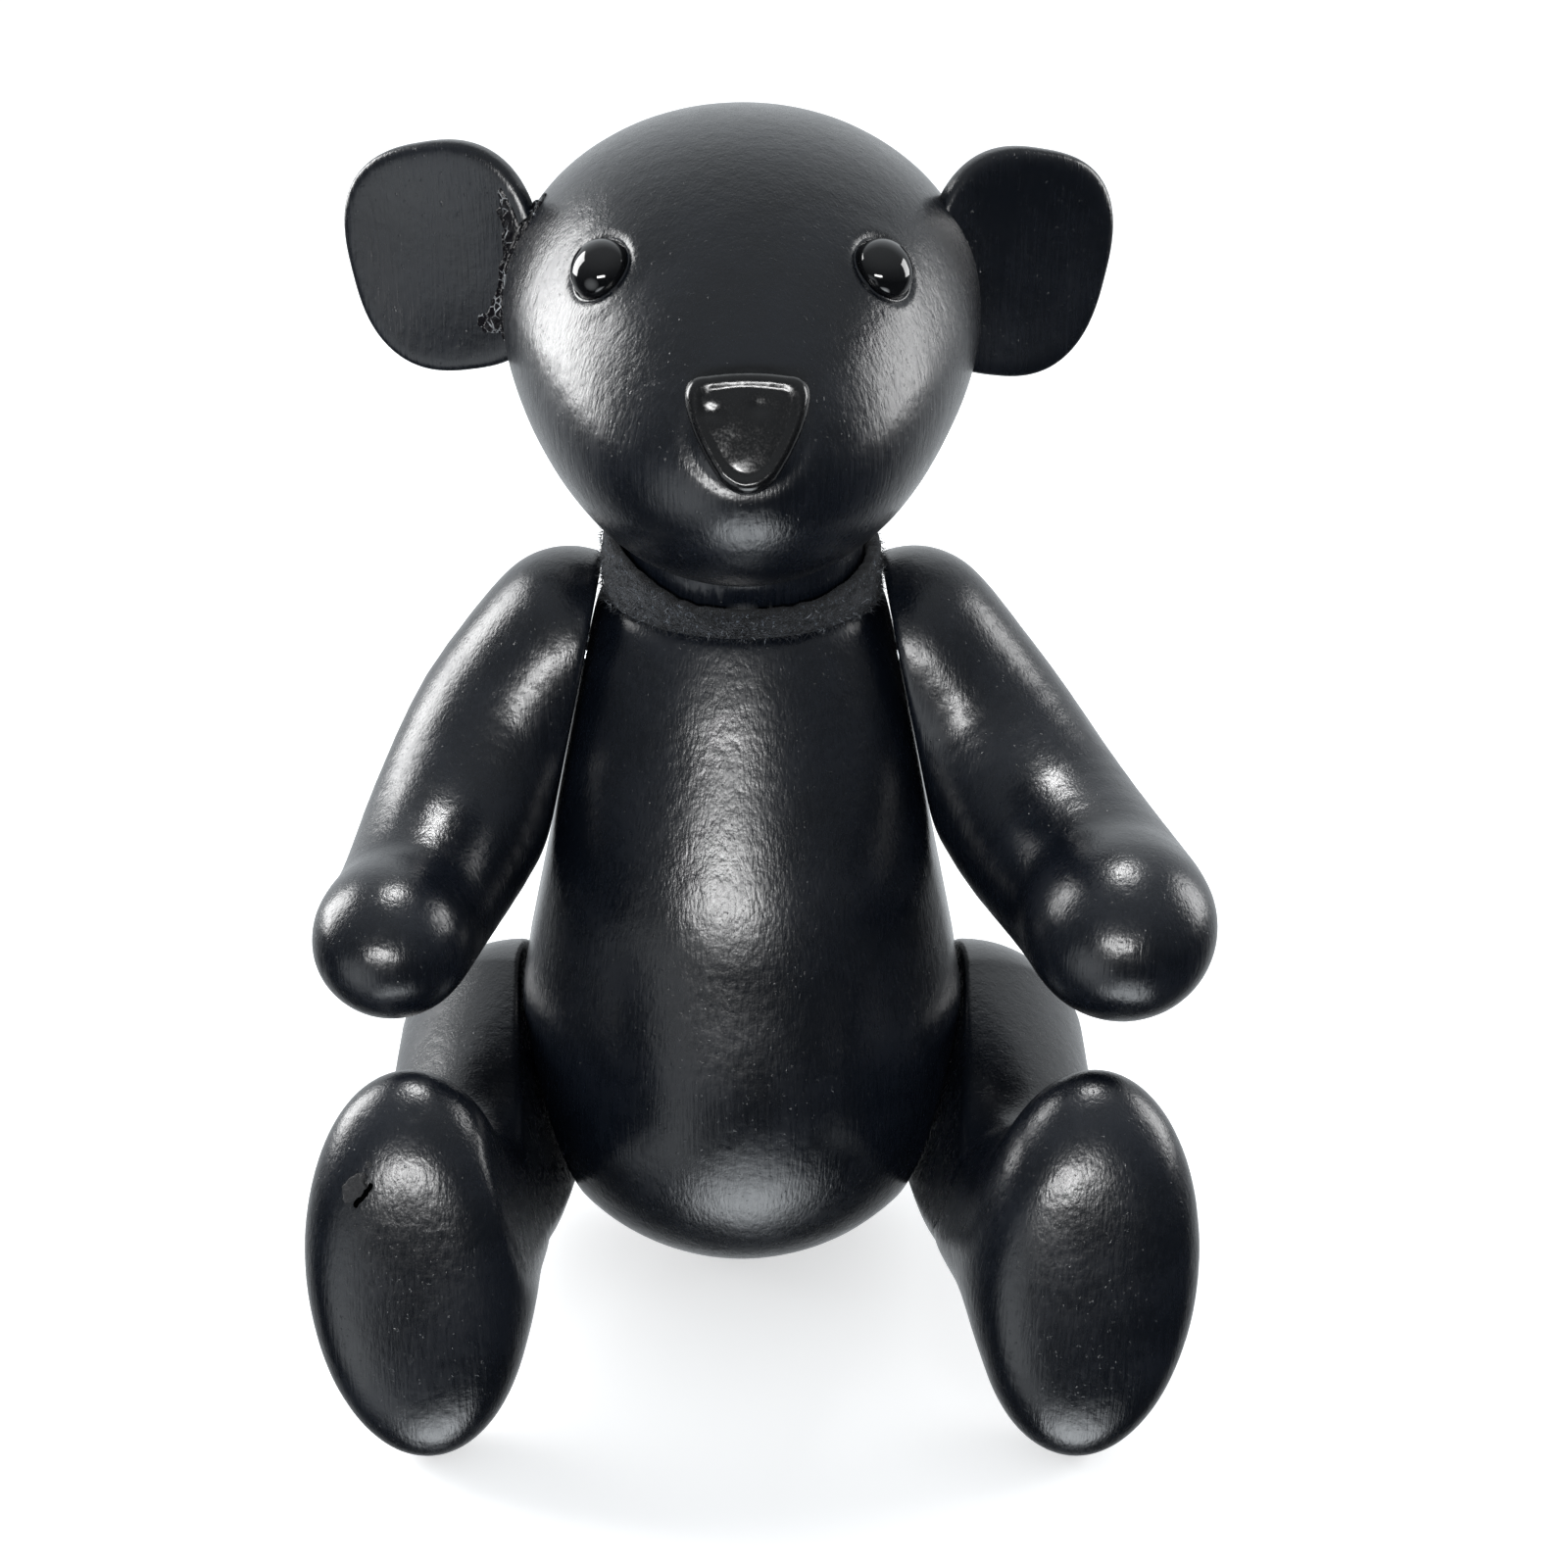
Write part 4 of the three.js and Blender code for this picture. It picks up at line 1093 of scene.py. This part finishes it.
class TEDDY_OT_glue(bpy.types.Operator):
    """The mended ear: a ragged glossy smear on the ear, a crazed ridge along its root and a
    thin run of glue on the head"""

    bl_idname = "teddy.glue"
    bl_label = "Glued ear"
    bl_options = {"REGISTER", "UNDO"}

    def execute(self, context):
        forms, colours = context.scene.teddy_forms, context.scene.teddy_colours
        glue = shared("crazed_dark_glue", glue_material, colours)
        side = "right"
        where = ear_place(side)
        head = plain_head(forms)
        heights = np.linspace(-14.2, 12.6, 240)
        root_x = ear_root(forms, side, heights)
        towards = -SIDES[side]

        # on the ear: a thin film that thins to nothing at a wandering edge
        back = np.linspace(-0.6, 9.5, 90)
        x = root_x[:, None] - towards * back[None]
        z = np.repeat(heights[:, None], len(back), 1)
        most = forms.ear[0] * np.maximum(0.92**2.6 - np.abs(z / forms.ear[2]) ** 2.6, 0) ** (1 / 2.6)
        x = np.clip(x, -most, most)
        own = np.stack([x, -ear_front(forms, x, z), z], -1)
        spot = place_in(own, where)
        upper = np.exp(-(((z - 6.5) / 6.5) ** 2)) * 5.8 + np.exp(-(((z + 11) / 2.6) ** 2)) * 4.6 + 0.9
        edge = upper * (1 + 0.45 * lumps(spot, 3.2, 71) + 0.3 * lumps(spot, 1.0, 72))
        film = 0.34 * np.tanh((edge - back[None]) / 0.9)
        film = film * (1 + 0.4 * lumps(spot, 1.6, 73)) - 0.04
        wide, _, tall = forms.ear
        rim = (np.abs(x / wide) ** 2.6 + np.abs(z / tall) ** 2.6) ** (1 / 2.6)
        fade = smooth((0.93 - rim) / 0.09) * smooth((13.3 - np.abs(z + 0.8)) / 1.6)
        film = np.where(film > 0, film * fade, film) - 0.5 * (1 - fade)
        out = -unit(np.cross(np.gradient(spot, axis=0), np.gradient(spot, axis=1)))
        if (out[..., 1] > 0).mean() > 0.5:
            out = -out
        points, faces = slab(spot + out * film[..., None], spot - out * 0.6)
        put("ear_glue_film", points, faces, glue, "head", "lacquer")

        # the ridge: two wandering beads of uneven thickness along the root
        line = spot[:, np.searchsorted(back, 0.0)]
        beads = []
        for shift, thick, seed in [(-0.2, 0.62, 81), (1.5, 0.42, 84), (2.5, 0.26, 88)]:
            away = unit(np.cross(unit(np.gradient(line, axis=0)), slope_of(head, line)))
            away = away * np.sign(away[:, :1] * -towards + 1e-9) * -1
            wander = 0.5 * lumps(line, 2.2, seed) + 0.35 * lumps(line, 0.9, seed + 1)
            course = settle(head, line + away * (shift + wander)[:, None], 0.05)
            uneven = 1 + 0.55 * lumps(course, 1.1, seed + 2) + 0.35 * lumps(course, 3.5, seed + 3)
            radius = np.maximum(thick * uneven, 0.05)
            radius[[0, -1]] = 0.01
            ahead = unit(np.gradient(course, axis=0))
            up = slope_of(head, course)
            across = np.cross(ahead, up)
            a = np.linspace(0, 2 * np.pi, 12, endpoint=False)[None, :, None]
            ring = np.cos(a) * across[:, None] * 1.3 + np.sin(a) * up[:, None]
            grid = course[:, None] + radius[:, None, None] * ring
            first, final = (end[:, None].repeat(12, 1) for end in (course[:1], course[-1:]))
            points, faces = capped(np.concatenate([first, grid, final]))
            if volume_of(points, faces) < 0:
                faces = [group[:, ::-1] for group in faces]
            beads.append((points, faces))
        points, faces = gathered(beads)
        put("ear_glue_ridge", points, faces, glue, "head", "lacquer")
        return {"FINISHED"}


class TEDDY_OT_chip(bpy.types.Operator):
    """A chip in the right sole: a slanted flake of lifted paint over bare resin"""

    bl_idname = "teddy.chip"
    bl_label = "Chipped sole"
    bl_options = {"REGISTER", "UNDO"}

    def execute(self, context):
        forms, colours = context.scene.teddy_forms, context.scene.teddy_colours
        form = leg_form(forms, "right")
        at = settle(form, np.array([-63.9, -72.6, 57.1]))
        out = slope_of(form, at)
        where = standing(at, out)
        n = np.linspace(-5.5, 5.5, 120)
        x, y = np.meshgrid(n, n, indexing="ij")
        spot = settle(form, place_in(np.stack([x, y, 0 * x], -1), where))
        normal = slope_of(form, spot)
        lean = math.radians(58)
        along = x * math.cos(lean) + y * math.sin(lean)
        across = -x * math.sin(lean) + y * math.cos(lean)
        ragged = 0.5 * lumps(spot, 1.3, 91) + 0.3 * lumps(spot, 0.55, 92)
        inside = 1 - np.hypot(along / 3.3, across / 1.9) + 0.35 * ragged
        flake = smooth(inside / 0.16)
        gap = np.exp(-(((across + 2.0 + 0.4 * ragged) / 0.42) ** 2))
        gap = gap * smooth((3.0 - np.abs(along)) / 0.8)
        beyond = np.exp(-(((along - 3.6) ** 2 + (across - 0.6) ** 2) / 2.2))
        specks = smooth((lumps(spot, 0.9, 93) - 0.45) / 0.15) * beyond
        rough = 0.1 * lumps(spot, 0.5, 94)
        high = -0.12 + flake * (0.6 + 0.25 * across / 1.9 + 1.6 * rough) + 0.4 * specks
        high = high + gap * 0.34
        bare = np.clip(flake + specks, 0, 1)
        # deep marks the crack under the flake's edge, where the materials paint shade
        deep = np.clip(gap * 1.2 - flake * 0.4, 0, 1)
        points, faces = slab(spot + normal * high[..., None], spot - normal * 0.9)
        marks = {"bare": np.tile(bare.ravel(), 2), "deep": np.tile(deep.ravel(), 2)}
        chip = shared("chipped_lacquer", chip_material, colours)
        piece = put("sole_chip", points, faces, chip, "leg_right", "lacquer", marks)
        # faces that lie mostly in the crack get a dead black material: painted shade
        piece.data.materials.append(shared("crack_under_flake", crack_shade_material, colours))
        painted_shade_share = marks["deep"][np.concatenate(faces)].mean(1)
        piece.data.polygons.foreach_set("material_index", (painted_shade_share > 0.4).astype(np.int32))
        return {"FINISHED"}


class TEDDY_OT_hardware(bpy.types.Operator):
    """Finishes of the studs, nuts, washers, springs, inserts, bushes and plugs"""

    bl_idname = "teddy.hardware"
    bl_label = "Joint hardware"
    bl_options = {"REGISTER", "UNDO"}

    def execute(self, context):
        colours = context.scene.teddy_colours
        finishes = {
            "nylon": shared("natural_moulded_nylon", nylon_material),
            "steel": shared("zinc_plated_steel", metal_material, "#9fa4a8", "#c3c7c9", 0.3),
            "spring_steel": shared("oiled_spring_steel", metal_material, "#3b3e43", "#5f646a", 0.36),
            "brass": shared("turned_brass", metal_material, "#a9803a", "#caa257", 0.28),
            "beech": shared("bare_turned_beech", beech_material),
            "rubber": shared("moulded_black_rubber", rubber_material),
            "lacquer": lacquer(colours),
            "gloss_black": shared("dipped_gloss_black", gloss_material, colours),
            "felt": shared("pressed_black_felt", felt_material, colours),
        }
        slots = {s["node"]: s["material_slot"] for s in frame["record"]["subparts"]}
        for name, node in frame["nodes"].items():
            node.data.materials.clear()
            node.data.materials.append(finishes[slots[name]])
        return {"FINISHED"}


class TEDDY_OT_stage(bpy.types.Operator):
    """Pale floor, soft studio light and the camera"""

    bl_idname = "teddy.stage"
    bl_label = "Stage"
    bl_options = {"REGISTER", "UNDO"}

    def execute(self, context):
        colours = context.scene.teddy_colours
        scene = bpy.context.scene
        glow = {"Emission_Color": (1, 1, 1, 1), "Emission_Strength": 0.45}
        paint, tree, place = new_material(
            "pale_painted_floor", Roughness=0.9, Specular_IOR_Level=0.1, **glow
        )
        cloud = add(tree, "TexNoise", {"Vector": place, "Scale": per_mm(400)})
        tones = {0: cloud, 6: linear(colours.floor), 7: linear("#f7f8f9")}
        dressed(paint, add(tree, "Mix", tones, 2, data_type="RGBA"))
        mesh = bpy.data.meshes.new("floor")
        mesh.from_pydata([(-9, -9, 0), (9, -9, 0), (9, 9, 0), (-9, 9, 0)], [], [(0, 1, 2, 3)])
        floor = bpy.data.objects.new("floor", mesh)
        scene.collection.objects.link(floor)
        mesh.materials.append(paint)
        floor.visible_glossy = False

        # a pale room that only the camera sees
        backdrop, tree, place = new_material(
            "pale_room", Base_Color=(0, 0, 0, 1), Roughness=1.0, Emission_Strength=1.0
        )
        cloud = add(tree, "TexNoise", {"Vector": place, "Scale": per_mm(2000), "Detail": 1.0})
        tones = {0: cloud, 6: linear("#fbfcfd"), 7: linear("#ffffff")}
        tone = add(tree, "Mix", tones, 2, data_type="RGBA")
        tree.links.new(tone, tree.nodes["Principled BSDF"].inputs["Emission Color"])
        t, e = np.meshgrid(np.linspace(0, 2 * np.pi, 48, endpoint=False), np.linspace(-1.5, 1.5, 24))
        dome = np.stack([np.cos(t) * np.cos(e), np.sin(t) * np.cos(e), np.sin(e)], -1) * 7.5
        points, faces = capped(dome)
        mesh = bpy.data.meshes.new("room")
        mesh.from_pydata(points.tolist(), [], [f for group in faces for f in group.tolist()])
        mesh.materials.append(backdrop)
        room = bpy.data.objects.new("room", mesh)
        scene.collection.objects.link(room)
        for ray in ("diffuse", "glossy", "shadow", "transmission", "volume_scatter"):
            setattr(room, "visible_" + ray, False)

        world = bpy.data.worlds.new("studio")
        scene.world = world
        world.use_nodes = True
        tree = world.node_tree
        tree.nodes.clear()
        way = add(tree, "TexCoord", out="Generated")
        apart = add(tree, "SeparateXYZ", [way]).node.outputs
        level = add(tree, "MapRange", [apart["Z"], -0.3, 0.35, 0.03, 0.26])
        above = add(tree, "MapRange", [apart["Z"], 0.3, 0.95, 0.0, 0.34])
        behind = add(tree, "MapRange", [apart["Y"], 0.25, 0.85, 0.0, 1.0])
        terms = [(level, 1.0), (above, 1.0), (behind, 1.0)]
        # soft glows off the table in front: azimuth, height angle, strength, width in degrees
        for azimuth, height, strength, wide in [(5, -62, 7.0, 22), (-44, -27, 1.8, 28)]:
            a, e = math.radians(azimuth), math.radians(height)
            towards = (math.sin(a) * math.cos(e), -math.cos(a) * math.cos(e), math.sin(e))
            near = add(tree, "VectorMath", [way, towards], "Value", operation="DOT_PRODUCT")
            rim = math.cos(math.radians(wide))
            terms.append((add(tree, "MapRange", [near, rim, 1.0, 0.0, 1.0]), strength))
        glow = summed(tree, terms)
        sky = add(tree, "Background", {"Color": (0.92, 0.965, 1.0, 1), "Strength": glow})
        add(tree, "OutputWorld", {"Surface": sky})

        target = Vector((0, 0, 0.11))
        # name, azimuth from the front, height angle, distance, width, height, radiance
        lamps = [
            ("front_window", -8, 6, 1.3, 0.66, 0.17, 38.0),
            ("right_window", 104, 14, 1.2, 0.45, 0.7, 9.0),
            ("left_window", -112, 18, 1.2, 0.55, 0.85, 14.0),
            ("overhead_lamp", 160, 82, 1.1, 0.26, 0.26, 60.0),
        ]
        for name, azimuth, height, distance, wide, tall, radiance in lamps:
            lamp = bpy.data.lights.new(name, "AREA")
            lamp.shape = "RECTANGLE"
            lamp.size, lamp.size_y = wide, tall
            lamp.energy = radiance * math.pi * wide * tall
            a, e = math.radians(azimuth), math.radians(height)
            way = Vector((math.sin(a) * math.cos(e), -math.cos(a) * math.cos(e), math.sin(e)))
            holder = bpy.data.objects.new(name, lamp)
            holder.location = target + way * distance
            holder.rotation_euler = way.to_track_quat("Z", "Y").to_euler()
            holder.visible_camera = False
            scene.collection.objects.link(holder)
            if name == "overhead_lamp":  # a small lamp that only picks out the limbs
                limbs = bpy.data.collections.new("lit_limbs")
                for piece in ("arm_skin_left", "arm_skin_right", "leg_skin_left", "leg_skin_right"):
                    limbs.objects.link(bpy.data.objects[piece])
                holder.light_linking.receiver_collection = limbs

        camera = bpy.data.cameras.new("camera")
        camera.lens, camera.sensor_width = 55.18, 36
        camera.shift_x, camera.shift_y = 0.0269, 0.0475
        camera.clip_start = 0.01
        holder = bpy.data.objects.new("camera", camera)
        look_at = Vector((0, 0, 0.08))
        height = math.radians(28)
        way = Vector((0, -math.cos(height), math.sin(height)))
        holder.location = look_at + way * 0.45
        holder.rotation_euler = way.to_track_quat("Z", "Y").to_euler()
        scene.collection.objects.link(holder)
        scene.camera = holder
        scene.view_settings.view_transform = "Standard"
        return {"FINISHED"}


class TEDDY_PT_panel(bpy.types.Panel):
    """Lists the pieces"""

    bl_idname = "TEDDY_PT_panel"
    bl_label = "Jointed teddy bear"
    bl_space_type = "VIEW_3D"
    bl_region_type = "UI"
    bl_category = "Teddy"

    def draw(self, context):
        for group in (context.scene.teddy_forms, context.scene.teddy_colours):
            box = self.layout.box()
            for key in group.__annotations__:
                box.prop(group, key)
        for operator in OPERATORS:
            self.layout.operator(operator.bl_idname)


OPERATORS = [
    TEDDY_OT_torso,
    TEDDY_OT_head,
    TEDDY_OT_limbs,
    TEDDY_OT_ears,
    TEDDY_OT_eyes,
    TEDDY_OT_nose,
    TEDDY_OT_collar,
    TEDDY_OT_felts,
    TEDDY_OT_glue,
    TEDDY_OT_chip,
    TEDDY_OT_hardware,
    TEDDY_OT_stage,
]
CLASSES = [TeddyForms, TeddyColours, *OPERATORS, TEDDY_PT_panel]


def register():
    for each in CLASSES:
        bpy.utils.register_class(each)
    bpy.types.Scene.teddy_forms = PointerProperty(type=TeddyForms)
    bpy.types.Scene.teddy_colours = PointerProperty(type=TeddyColours)


def unregister():
    del bpy.types.Scene.teddy_forms
    del bpy.types.Scene.teddy_colours
    for each in reversed(CLASSES):
        bpy.utils.unregister_class(each)


def main():
    register()
    for operator in OPERATORS:
        group, name = operator.bl_idname.split(".")
        getattr(getattr(bpy.ops, group), name)()
    bpy.context.view_layer.update()


if __name__ == "__main__":
    main()
